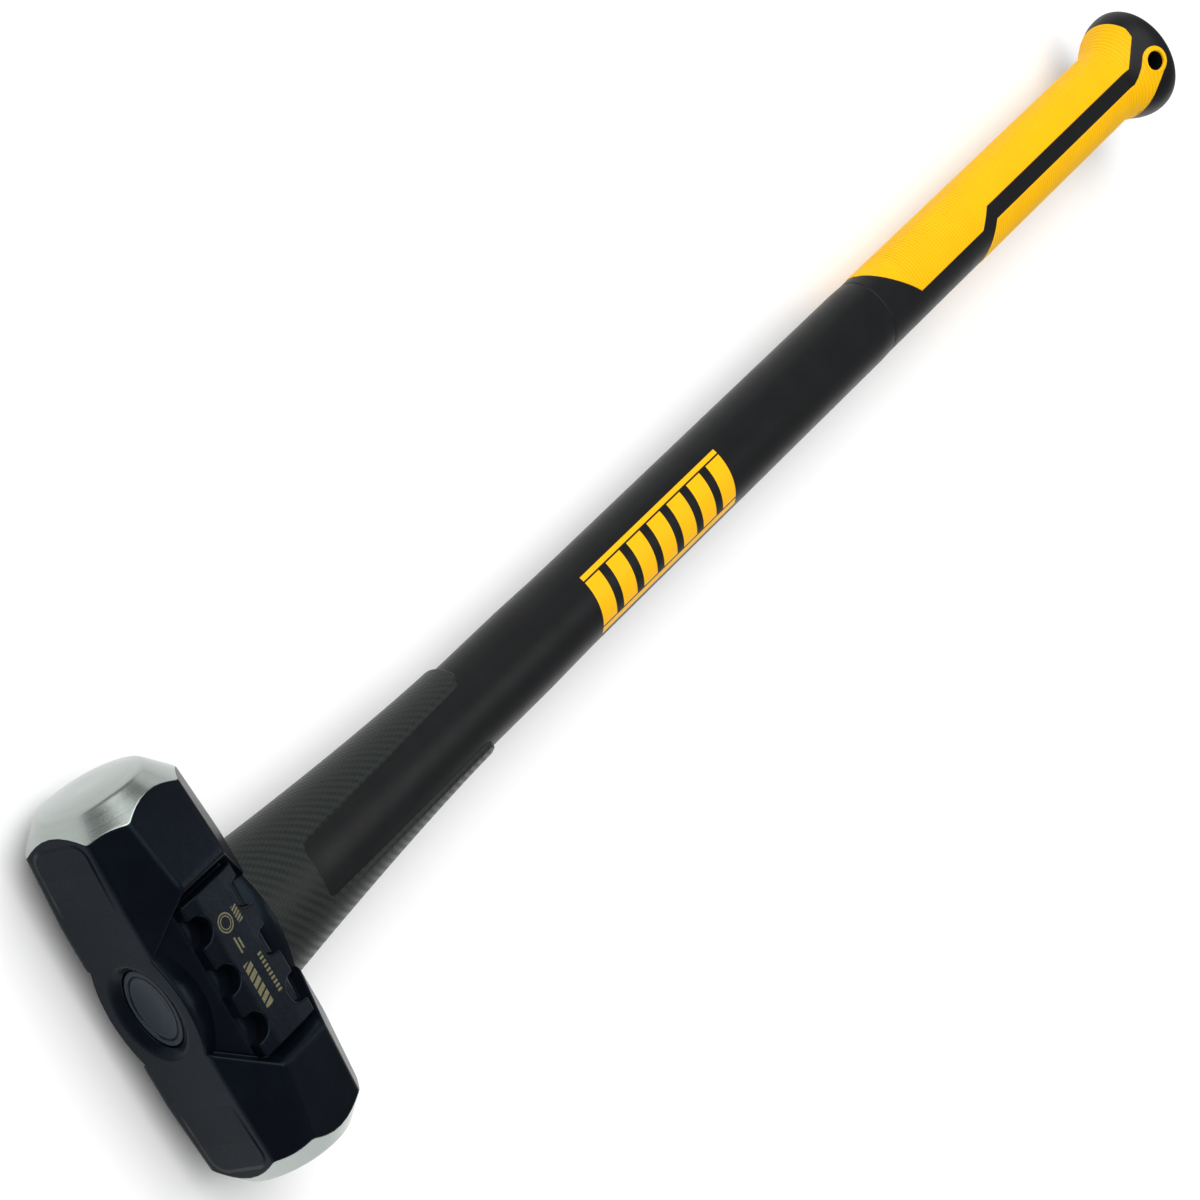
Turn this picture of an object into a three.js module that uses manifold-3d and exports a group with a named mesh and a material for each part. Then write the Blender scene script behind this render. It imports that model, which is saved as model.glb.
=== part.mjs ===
// A long-handled sledgehammer: a forged octagonal head on a fibreglass-cored handle with an
// overstrike guard, a ribbed two-panel grip and a flared butt with a tether hole.
// Millimetres. The hammer lies on its cheek: X runs along the head, Y along the handle
// towards the butt, and Z is up. The pieces are drawn about the head's centre.
import * as THREE from "three";
import { ConvexGeometry } from "three/addons/geometries/ConvexGeometry.js";
import { LoftGeometry } from "three/addons/geometries/LoftGeometry.js";
import { mergeVertices } from "three/addons/utils/BufferGeometryUtils.js";
import Module from "manifold-3d";

// Whole tool.
const overallLength = 890; // head top to butt end
const gap = 0.3; // clearance between touching pieces
const ovalSides = 40; // facets round an oval section

// Head. Half sizes of its octagon at the striking faces and at the two crests beside the waist.
const headLength = 178;
const headEnd = { height: 28.9, thickness: 29.5, topFlat: 18.2, cheekFlat: 17.2 };
const headCrest = { height: 31.4, thickness: 36.2, topFlat: 20, cheekFlat: 14.5 };
const crestInner = 40.7; // where the waist starts on the cheek
const crestLand = 3; // flat strip along each crest
const waistTopHalf = 22.5; // where the waist starts on the top and bottom
const waistWall = 3.5; // run of the sloping wall round the waist
const waistDepth = 7;
const chamferDrop = 6.9; // how far the waist's sloping sides lie inside the crest's, along Z
const faceRadius = 24.8;
const faceFlatRadius = 10; // the crowned face's flat middle
const faceCrown = 2.6;
const bevelSlope = 0.93; // radius lost for each millimetre along the turned bevel

// Relief on the cheeks.
const padHalfLength = 35.5;
const padMiddleHalf = 8; // flat middle strip of the pad
const padHalfWidth = 16.6;
const padHeight = 4.5; // above the waist floor
const padFall = 0.9; // drop from the middle strip to the pad's edge
const scoopRadius = 6.05;
const scoopPitch = 22.8;
const scoopDepth = 6.95; // below the middle strip
const scoopInner = 8.1; // from the centreline to the scoop's round end

// Bosses round the eye, on the head's top and bottom.
const bossHalfLength = 21;
const bossWall = 1.6; // beyond the eye's mouth, across the head, at the boss's ends
const bossRise = 4.1; // extra half width in the middle

// Core rod, and the walls built up round it. Each is a half size across X and across Z.
const core = { x: 14, z: 9 };
const resinWall = { x: 4.5, z: 3.5 };
const jacketWall = { x: 6.4, z: 7.3 };
const shoulderSwell = { x: 0.6, z: 0.5 }; // the shaft is thicker beside the guard
const gripRecess = 0.3; // the black grip lies this far below the shaft's surface
const gripWall = 3.6;

// Eye, and what fills it.
const eyeMouthFlare = { x: 3.4, z: 5.1 };
const eyeMouthDepth = 3.5;
const capSink = 3.5; // cap's face below the head's top
const capThickness = 5;
const damThickness = 3;

// Handle.
const shoulderEnd = 240; // from the head's centre
const shoulderTaper = 50;
const coreEndToButt = 31;
const jacketEndToButt = 30;

// Overstrike guard.
const guardLength = 164.6;
const guardFootWall = { x: 11.9, z: 5 };
const guardTipWall = { x: 2, z: 1.3 };
const guardTaperPower = 1.5;
const windowStart = 33; // from the head's underside
const wingWrapFoot = 7.8; // how far each wing comes over the shaft at the window's foot
const wingWrapTip = 5.8;
const windowCorner = 6;
const wingTipRound = { x: 5, y: 6.5 };

// Grip and butt, with lengths counted back from the butt's end.
const gripLength = 300;
const knobLength = 44;
const flareStart = 40.6;
const flareWidest = 8.6;
const flareRise = { x: 9.1, z: 9 };
const domePower = 3.3;
const panelDepth = 1.6;
const panelProud = 0.3;
const spineHalf = 4.1; // half width of the black spine between the panels
const widePanelSetback = 8; // from the grip's start
const widePanelTip = 23.5; // from the panel's start to its tip
const widePanelCrossing = { from: 204.6, to: 192.4 };
const narrowPanelStart = { side: 203, spine: 189.6 };
const panelFlareStart = 34;
const tetherHole = { fromEnd: 18.2, radius: 5, rim: 7.8 };

// Worked out from the sizes above.
const grown = (size, wall) => ({ x: size.x + wall.x, z: size.z + wall.z });
const inset = (size, wall) => ({ x: size.x - wall, z: size.z - wall });
const eye = grown(core, resinWall);
const eyeMouth = grown(eye, eyeMouthFlare);
const shaft = grown(core, jacketWall);
const shoulder = grown(shaft, shoulderSwell);
const guardFoot = grown(shoulder, guardFootWall);
const guardTip = grown(shoulder, guardTipWall);
const grip = inset(shaft, gripRecess);
const shaftUnderGrip = inset(grip, gripWall);
const flare = grown(grip, flareRise);
const bossEdge = eyeMouth.z + bossWall;
const windowHalfFoot = shoulder.x - wingWrapFoot;
const windowHalfTip = shoulder.x - wingWrapTip;
const underside = headCrest.height;
const buttEnd = overallLength - headCrest.height;
const waistFloor = headCrest.thickness - waistDepth;
const guardEnd = underside + gap + guardLength;
const gripStart = buttEnd - gripLength;

const wasm = await Module();
wasm.setup();

// A closed geometry as a manifold-3d solid.
function solid(geometry) {
  const bare = new THREE.BufferGeometry();
  bare.setAttribute("position", geometry.getAttribute("position"));
  bare.setIndex(geometry.getIndex());
  const merged = mergeVertices(bare, 1e-4);
  return new wasm.Manifold(
    new wasm.Mesh({
      numProp: 3,
      vertProperties: merged.attributes.position.array,
      triVerts: new Uint32Array(merged.index.array),
    }),
  );
}

// A named mesh of a solid, in one plain material.
function piece(name, body, color, roughness, metalness) {
  const mesh = body.getMesh();
  const geometry = new THREE.BufferGeometry();
  geometry.setAttribute("position", new THREE.BufferAttribute(mesh.vertProperties, 3));
  geometry.setIndex(new THREE.BufferAttribute(mesh.triVerts, 1));
  geometry.computeVertexNormals();
  const made = new THREE.Mesh(geometry, new THREE.MeshStandardMaterial({ color, roughness, metalness }));
  made.name = name;
  return made;
}

// An oval ring of points round the handle's axis.
function oval(y, halfX, halfZ) {
  const points = [];
  for (let i = 0; i < ovalSides; i++) {
    const turn = (i / ovalSides) * 2 * Math.PI;
    points.push(new THREE.Vector3(halfX * Math.sin(turn), y, halfZ * Math.cos(turn)));
  }
  return points;
}

// A solid skinned over sections, closed at both ends.
function loft(sections) {
  return solid(new LoftGeometry(sections, { capStart: true, capEnd: true }));
}

// A straight oval bar grown by an offset.
function ovalBar(size, from, to, offset = 0) {
  return loft([from, to].map((y) => oval(y, size.x + offset, size.z + offset)));
}

// A plan outline in X and Y carried through the whole thickness, drawn in all round if asked.
function plate(shape, drawnIn = 0) {
  const reach = 2 * headCrest.thickness;
  const geometry = new THREE.ExtrudeGeometry(shape, {
    depth: 2 * reach,
    curveSegments: 10,
    bevelEnabled: drawnIn > 0,
    bevelThickness: 0.1,
    bevelSize: 0,
    bevelOffset: -drawnIn,
    bevelSegments: 1,
  });
  geometry.translate(0, 0, -reach);
  return solid(geometry);
}

// A block between two corners.
function block(low, high) {
  const geometry = new THREE.BoxGeometry(high[0] - low[0], high[1] - low[1], high[2] - low[2]);
  geometry.translate((low[0] + high[0]) / 2, (low[1] + high[1]) / 2, (low[2] + high[2]) / 2);
  return solid(geometry);
}

// A cylinder along Z.
function uprightCylinder(x, y, radius, low, high) {
  const geometry = new THREE.CylinderGeometry(radius, radius, high - low, 32);
  geometry.rotateX(Math.PI / 2);
  geometry.translate(x, y, (low + high) / 2);
  return solid(geometry);
}

// A bar along X with the same outline in Y and Z from end to end.
function bar(outline, halfLength) {
  const points = [];
  for (const [y, z] of outline) {
    points.push(new THREE.Vector3(-halfLength, y, z));
    points.push(new THREE.Vector3(halfLength, y, z));
  }
  return solid(new ConvexGeometry(points));
}

// Mirrored copies of points in the signs given.
function mirrored(points, signsX, signsY, signsZ) {
  const all = [];
  for (const [x, y, z] of points)
    for (const sx of signsX)
      for (const sy of signsY)
        for (const sz of signsZ) all.push(new THREE.Vector3(sx * x, sy * y, sz * z));
  return all;
}

const bothSigns = [-1, 1];

// The octagonal bar that flares from each striking face up to a crest.
function forgedBar() {
  const corners = [];
  for (const [x, size] of [
    [headLength / 2, headEnd],
    [crestInner + crestLand, headCrest],
  ]) {
    corners.push([x, size.height, size.topFlat]);
    corners.push([x, size.cheekFlat, size.thickness]);
  }
  return solid(new ConvexGeometry(mirrored(corners, bothSigns, bothSigns, bothSigns)));
}

// The turned ends: a bevel cone and a crowned face at each side.
function turnedEnds() {
  const tip = headLength / 2;
  const edge = tip - faceCrown;
  const wide = 2 * faceRadius;
  const run = (wide - faceRadius) / bevelSlope;
  const half = [
    [0, tip],
    [faceFlatRadius, tip],
    [(faceFlatRadius + faceRadius) / 2, tip - faceCrown * 0.3],
    [faceRadius, edge],
    [wide, edge - run],
  ];
  const profile = [
    ...half.map(([r, x]) => new THREE.Vector2(r, -x)),
    ...half.reverse().map(([r, x]) => new THREE.Vector2(r, x)),
  ];
  const geometry = new THREE.LatheGeometry(profile, 64);
  geometry.rotateZ(-Math.PI / 2);
  return solid(geometry);
}

// What the waist takes away: a wide-mouthed cut on each cheek, less the waist's own core.
function waistCut() {
  const chamferFloor = headCrest.cheekFlat + headCrest.thickness - chamferDrop;
  const floorHalf = chamferFloor - waistFloor;
  const rimCheek = new THREE.Vector3(crestInner, headCrest.cheekFlat, headCrest.thickness);
  const rimTop = new THREE.Vector3(waistTopHalf, headCrest.height, headCrest.topFlat);
  const footCheek = new THREE.Vector3(crestInner - waistWall, floorHalf, waistFloor);
  const footTop = new THREE.Vector3(
    waistTopHalf - waistWall,
    headCrest.height,
    chamferFloor - headCrest.height,
  );
  const beyond = 0.1; // carries the cut past the top and bottom faces
  const above = 3; // carries it past the cheek
  rimTop.lerpVectors(rimCheek, rimTop, 1 + beyond);
  footTop.lerpVectors(footCheek, footTop, 1 + beyond);
  const corners = [footCheek, footTop];
  for (const [foot, rim] of [
    [footCheek, rimCheek],
    [footTop, rimTop],
  ])
    corners.push(new THREE.Vector3().lerpVectors(foot, rim, above));
  const list = corners.map((p) => p.toArray());
  const reach = 2 * headCrest.height;
  const kept = bar(
    bothSigns.flatMap((sz) => [
      [-floorHalf, sz * waistFloor],
      [floorHalf, sz * waistFloor],
      [-reach, sz * (chamferFloor - reach)],
      [reach, sz * (chamferFloor - reach)],
    ]),
    headLength,
  );
  const cuts = bothSigns.map((sz) =>
    solid(new ConvexGeometry(mirrored(list, bothSigns, bothSigns, [sz]))).subtract(kept),
  );
  return cuts[0].add(cuts[1]);
}

// The raised pad on both cheeks, as one bar through the head.
function cheekPads() {
  const top = waistFloor + padHeight;
  const outline = [];
  for (const sz of bothSigns)
    for (const sy of bothSigns) {
      outline.push([sy * padMiddleHalf, sz * top]);
      outline.push([sy * padHalfWidth, sz * (top - padFall)]);
    }
  return bar(outline, padHalfLength);
}

// One round-ended scoop open towards the pad's edge, at both cheeks' outer side.
function scoop(x, sideY, sideZ) {
  const floor = waistFloor + padHeight - scoopDepth;
  const high = 2 * headCrest.thickness;
  const low = sideZ > 0 ? floor : -high;
  const centre = sideY * (scoopInner + scoopRadius);
  const outer = sideY * headCrest.height;
  return uprightCylinder(x, centre, scoopRadius, low, low + high - floor).add(
    block(
      [x - scoopRadius, Math.min(centre, outer), low],
      [x + scoopRadius, Math.max(centre, outer), low + high - floor],
    ),
  );
}

// The lens-shaped column round the eye that stands out of the waist.
function eyeBoss() {
  const shape = new THREE.Shape();
  const radius = (bossHalfLength ** 2 + bossRise ** 2) / (2 * bossRise);
  const centre = bossEdge + bossRise - radius;
  const sweep = Math.asin(bossHalfLength / radius);
  shape.moveTo(-bossHalfLength, -bossEdge);
  shape.absarc(0, -centre, radius, -Math.PI / 2 - sweep, -Math.PI / 2 + sweep, false);
  shape.lineTo(bossHalfLength, bossEdge);
  shape.absarc(0, centre, radius, Math.PI / 2 - sweep, Math.PI / 2 + sweep, false);
  shape.closePath();
  const geometry = new THREE.ExtrudeGeometry(shape, {
    depth: 2 * headCrest.height,
    curveSegments: 16,
    bevelEnabled: false,
  });
  geometry.translate(0, 0, -headCrest.height);
  geometry.rotateX(-Math.PI / 2);
  return solid(geometry);
}

// The eye: a straight oval hole with a wide countersunk mouth at the top.
function eyeCut() {
  const over = 1.5; // carries the mouth's slope past the top face
  const slopeX = (eyeMouth.x - eye.x) / eyeMouthDepth;
  const slopeZ = (eyeMouth.z - eye.z) / eyeMouthDepth;
  const top = -headCrest.height;
  const hole = ovalBar(eye, top - over, underside + over);
  const mouth = loft([
    oval(top - over, eyeMouth.x + slopeX * over, eyeMouth.z + slopeZ * over),
    oval(top + eyeMouthDepth, eye.x, eye.z),
  ]);
  return hole.add(mouth);
}

function headSolid() {
  let body = forgedBar().subtract(waistCut()).add(cheekPads());
  for (const step of [-1, 0, 1])
    for (const sideY of bothSigns)
      for (const sideZ of bothSigns) body = body.subtract(scoop(step * scoopPitch, sideY, sideZ));
  return body.add(eyeBoss()).intersect(turnedEnds()).subtract(eyeCut());
}

// The three pieces that close the eye round the core.
const capTop = -headCrest.height + capSink;
const coreTop = capTop + capThickness + gap;
const damTop = underside - gap - damThickness;

function eyeRing(from, to) {
  return ovalBar(eye, from, to, -gap).subtract(ovalBar(core, from - 1, to + 1, gap));
}

// The shaft's outer oval at a distance along the handle, grown by an offset.
function shaftOval(y, offset = 0) {
  const share = THREE.MathUtils.smoothstep(y, shoulderEnd, shoulderEnd + shoulderTaper);
  return oval(
    y,
    THREE.MathUtils.lerp(shoulder.x, shaft.x, share) + offset,
    THREE.MathUtils.lerp(shoulder.z, shaft.z, share) + offset,
  );
}

function jacketSolid() {
  const start = underside + gap;
  const end = buttEnd - jacketEndToButt;
  const stations = [start, shoulderEnd];
  for (let i = 1; i <= 4; i++) stations.push(shoulderEnd + (i / 4) * shoulderTaper);
  stations.push(gripStart - gap);
  const thick = loft(stations.map((y) => shaftOval(y)));
  const thin = ovalBar(shaftUnderGrip, gripStart - 2, end);
  return thick.add(thin).subtract(ovalBar(core, start - 1, end + 1, gap));
}

// The plan outline of the guard's window, open past the wing tips.
function windowShape() {
  const foot = underside + windowStart;
  const shape = new THREE.Shape();
  shape.moveTo(0, foot);
  shape.lineTo(windowHalfFoot - windowCorner, foot);
  shape.quadraticCurveTo(windowHalfFoot, foot, windowHalfFoot, foot + windowCorner);
  shape.lineTo(windowHalfTip, guardEnd - wingTipRound.y);
  const tipX = windowHalfTip + wingTipRound.x;
  shape.quadraticCurveTo(windowHalfTip + 1, guardEnd - 1, tipX, guardEnd + 0.1);
  shape.lineTo(tipX, guardEnd + guardLength);
  shape.lineTo(-tipX, guardEnd + guardLength);
  shape.lineTo(-tipX, guardEnd + 0.1);
  shape.quadraticCurveTo(-windowHalfTip - 1, guardEnd - 1, -windowHalfTip, guardEnd - wingTipRound.y);
  shape.lineTo(-windowHalfFoot, foot + windowCorner);
  shape.quadraticCurveTo(-windowHalfFoot, foot, -windowHalfFoot + windowCorner, foot);
  shape.closePath();
  return shape;
}

function guardSolid() {
  const start = underside + gap;
  const steps = 12;
  const outer = [];
  for (let i = 0; i <= steps; i++) {
    const left = 1 - i / steps;
    const halfX = guardTip.x + (guardFoot.x - guardTip.x) * left ** guardTaperPower;
    const halfZ = guardTip.z + (guardFoot.z - guardTip.z) * left;
    outer.push(oval(start + (i / steps) * guardLength, halfX, halfZ));
  }
  const inner = loft([shaftOval(start - 1, gap), shaftOval(guardEnd + 1, gap)]);
  return loft(outer).subtract(inner).subtract(plate(windowShape()));
}

// The grip's outer ovals from a distance before the butt's end down to the end itself.
function gripLoft(from, offset) {
  const sections = [];
  const add = (distance, halfX, halfZ) =>
    sections.push(oval(buttEnd - distance, halfX + offset, halfZ + offset));
  if (from > flareStart) add(from, grip.x, grip.z);
  const flareSteps = 8;
  for (let i = 0; i <= flareSteps; i++) {
    const share = i / flareSteps;
    const swell = THREE.MathUtils.smoothstep(share, 0, 1);
    add(
      THREE.MathUtils.lerp(flareStart, flareWidest, share),
      THREE.MathUtils.lerp(grip.x, flare.x, swell),
      THREE.MathUtils.lerp(grip.z, flare.z, swell),
    );
  }
  const domeSteps = 6;
  for (let i = 1; i <= domeSteps; i++) {
    const turn = (i / (domeSteps + 0.4)) * (Math.PI / 2);
    const rise = Math.sin(turn) ** (2 / domePower);
    const shrink = Math.cos(turn) ** (2 / domePower);
    add(i === domeSteps ? 0 : flareWidest * (1 - rise), flare.x * shrink, flare.z * shrink);
  }
  return loft(sections);
}

// The wide panel's plan outline: it wraps the -X side, and its first part reaches over the spine.
function widePanelShape() {
  const far = -2 * flare.x;
  const at = (distance) => buttEnd - distance;
  const start = gripStart + widePanelSetback;
  const tipY = start + widePanelTip;
  const shape = new THREE.Shape();
  shape.moveTo(far, start);
  shape.lineTo(-grip.x, start);
  shape.quadraticCurveTo(-spineHalf, start + 10, spineHalf - 2, tipY - 2);
  shape.quadraticCurveTo(spineHalf, tipY, spineHalf, tipY + 3);
  shape.lineTo(spineHalf, at(widePanelCrossing.from));
  shape.lineTo(-spineHalf, at(widePanelCrossing.to));
  shape.lineTo(-spineHalf, at(panelFlareStart));
  const tip = tetherHole.fromEnd - 0.5;
  shape.lineTo(-spineHalf - tetherHole.rim, at(tip + 9));
  shape.quadraticCurveTo(-grip.x + 2, at(tip), -flare.x + 4, at(tip));
  shape.lineTo(far, at(tip + 12));
  shape.closePath();
  return shape;
}

// The narrow panel's plan outline: it wraps the +X side, and its tongue rings the tether hole.
function narrowPanelShape() {
  const far = 2 * flare.x;
  const at = (distance) => buttEnd - distance;
  const shape = new THREE.Shape();
  shape.moveTo(far, at(narrowPanelStart.side));
  shape.lineTo(far, at(tetherHole.fromEnd + 14));
  shape.lineTo(grip.x, at(tetherHole.fromEnd + 9));
  const hole = at(tetherHole.fromEnd);
  shape.lineTo(tetherHole.rim, hole + 1);
  shape.absarc(0, hole, tetherHole.rim, Math.asin(1 / tetherHole.rim), Math.PI * 1.05, false);
  shape.lineTo(spineHalf, at(panelFlareStart));
  shape.lineTo(spineHalf, at(narrowPanelStart.spine));
  shape.lineTo(grip.x - 2, at(narrowPanelStart.side));
  shape.closePath();
  return shape;
}

function panelSolid(shape) {
  const from = gripLength - 1;
  const skin = gripLoft(from, panelProud).subtract(gripLoft(from + 1, gap - panelDepth));
  return skin.intersect(plate(shape, gap));
}

function panelPockets() {
  const inner = gripLoft(gripLength + 1, -panelDepth);
  return plate(widePanelShape()).add(plate(narrowPanelShape())).subtract(inner);
}

const pockets = panelPockets();
const wholeGrip = gripLoft(gripLength, 0);
const tetherCut = uprightCylinder(
  0,
  buttEnd - tetherHole.fromEnd,
  tetherHole.radius,
  -2 * flare.z,
  2 * flare.z,
);

function sleeveSolid() {
  const end = buttEnd - knobLength - gap;
  const length = block([-flare.x * 2, gripStart, -flare.z * 2], [flare.x * 2, end, flare.z * 2]);
  const bore = ovalBar(shaftUnderGrip, gripStart - 1, buttEnd - knobLength + 1, gap);
  return wholeGrip.intersect(length).subtract(bore).subtract(pockets);
}

function knobSolid() {
  const start = buttEnd - knobLength;
  const length = block([-flare.x * 2, start, -flare.z * 2], [flare.x * 2, buttEnd + 1, flare.z * 2]);
  const socket = ovalBar(shaftUnderGrip, start - 1, buttEnd - jacketEndToButt + gap, gap);
  return wholeGrip.intersect(length).subtract(socket).subtract(pockets).subtract(tetherCut);
}

const black = 0x17191b;
const yellow = 0xf2b807;
const hammer = new THREE.Group();
hammer.add(piece("head", headSolid(), 0x1b2028, 0.4, 0.6));
hammer.add(piece("eye_cap", ovalBar(eye, capTop, coreTop - gap, -gap), 0x20262e, 0.55, 0));
hammer.add(piece("eye_resin", eyeRing(coreTop, damTop - gap), 0x6b5a2c, 0.3, 0));
hammer.add(piece("eye_dam_ring", eyeRing(damTop, underside - gap), 0x101112, 0.9, 0));
hammer.add(piece("core_rod", ovalBar(core, coreTop, buttEnd - coreEndToButt), 0xb9b48a, 0.5, 0));
hammer.add(piece("shaft_jacket", jacketSolid(), black, 0.42, 0));
hammer.add(piece("overstrike_guard", guardSolid(), 0x232826, 0.5, 0));
hammer.add(piece("grip_sleeve", sleeveSolid(), black, 0.42, 0));
hammer.add(piece("butt_knob", knobSolid(), black, 0.42, 0));
hammer.add(piece("grip_panel_wide", panelSolid(widePanelShape()), yellow, 0.55, 0));
hammer.add(piece("grip_panel_narrow", panelSolid(narrowPanelShape()).subtract(tetherCut), yellow, 0.55, 0));

// The origin is on the floor, under the middle of the hammer's length.
hammer.position.set(0, headCrest.height - overallLength / 2, headCrest.thickness);
export default hammer;
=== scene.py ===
"""The sledgehammer's looks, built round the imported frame: forged head, woven guard, shaft, grip.

Sizes are millimetres about the head's centre: X along the head, Y along the handle to the butt,
Z out of the upper cheek. Every piece is laid out in them and placed in the frame in one step.
"""

import logging
from dataclasses import dataclass, field
from enum import Enum
from typing import Optional, Sequence, Union

import bmesh
import bpy
import numpy as np
from mathutils import Matrix, Vector

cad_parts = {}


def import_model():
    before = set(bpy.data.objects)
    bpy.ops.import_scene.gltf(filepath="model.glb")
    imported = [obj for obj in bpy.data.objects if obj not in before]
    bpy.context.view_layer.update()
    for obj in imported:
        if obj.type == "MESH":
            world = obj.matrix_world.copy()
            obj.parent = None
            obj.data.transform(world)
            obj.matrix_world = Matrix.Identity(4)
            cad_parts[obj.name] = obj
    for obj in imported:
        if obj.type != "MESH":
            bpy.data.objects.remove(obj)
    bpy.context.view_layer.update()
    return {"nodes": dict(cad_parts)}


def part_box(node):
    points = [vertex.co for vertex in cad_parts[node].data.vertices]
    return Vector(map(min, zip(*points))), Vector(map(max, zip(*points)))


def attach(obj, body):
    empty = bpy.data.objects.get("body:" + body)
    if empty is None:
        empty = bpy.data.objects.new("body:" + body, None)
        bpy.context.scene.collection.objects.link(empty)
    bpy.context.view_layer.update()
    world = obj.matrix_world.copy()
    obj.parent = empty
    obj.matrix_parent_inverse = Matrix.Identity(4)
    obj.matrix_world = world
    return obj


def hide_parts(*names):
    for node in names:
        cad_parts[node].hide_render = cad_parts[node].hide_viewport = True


log = logging.getLogger("sledgehammer")
Grid = np.ndarray
Number = Union[float, "Wire"]
Colour = tuple[float, float, float]
Pair = tuple[float, float]

MM = 0.001
BOTH = (1.0, -1.0)
FULL_TURN = 2.0 * np.pi


# ---------------------------------------------------------------- shader arithmetic


@dataclass(frozen=True)
class Wire:
    """A number, or a vector, flowing between nodes, with ordinary arithmetic."""

    board: "Board"
    socket: bpy.types.NodeSocket

    def _math(self, operation: str, *others: Number) -> "Wire":
        """This number and others through one Math node."""
        return self.board.math(operation, self, *others)

    def __add__(self, other: Number) -> "Wire":
        """The sum."""
        return self._math("ADD", other)

    __radd__ = __add__

    def __sub__(self, other: Number) -> "Wire":
        """The difference."""
        return self._math("SUBTRACT", other)

    def __rsub__(self, other: Number) -> "Wire":
        """The difference the other way round."""
        return self.board.math("SUBTRACT", other, self)

    def __mul__(self, other: Number) -> "Wire":
        """The product."""
        return self._math("MULTIPLY", other)

    __rmul__ = __mul__

    def __truediv__(self, other: Number) -> "Wire":
        """The quotient."""
        return self._math("DIVIDE", other)

    def __rtruediv__(self, other: Number) -> "Wire":
        """The quotient the other way round."""
        return self.board.math("DIVIDE", other, self)

    def __pow__(self, other: Number) -> "Wire":
        """The power."""
        return self._math("POWER", other)

    def __neg__(self) -> "Wire":
        """The negative."""
        return self * -1.0

    def __abs__(self) -> "Wire":
        """The size without its sign."""
        return self._math("ABSOLUTE")

    def sine(self) -> "Wire":
        """The sine, in radians."""
        return self._math("SINE")

    def root(self) -> "Wire":
        """The square root."""
        return self._math("SQRT")

    def floor(self) -> "Wire":
        """The whole number below."""
        return self._math("FLOOR")

    def part(self) -> "Wire":
        """What is left above the whole number below."""
        return self._math("FRACT")

    def below(self, edge: Number, soft: float) -> "Wire":
        """One where this is under the edge, nought over it, with a soft step of the width given."""
        return self.board.clamp((edge - self) / soft + 0.5)

    def least(self, other: Number) -> "Wire":
        """The smaller of two."""
        return self._math("MINIMUM", other)

    def most(self, other: Number) -> "Wire":
        """The larger of two."""
        return self._math("MAXIMUM", other)


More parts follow.
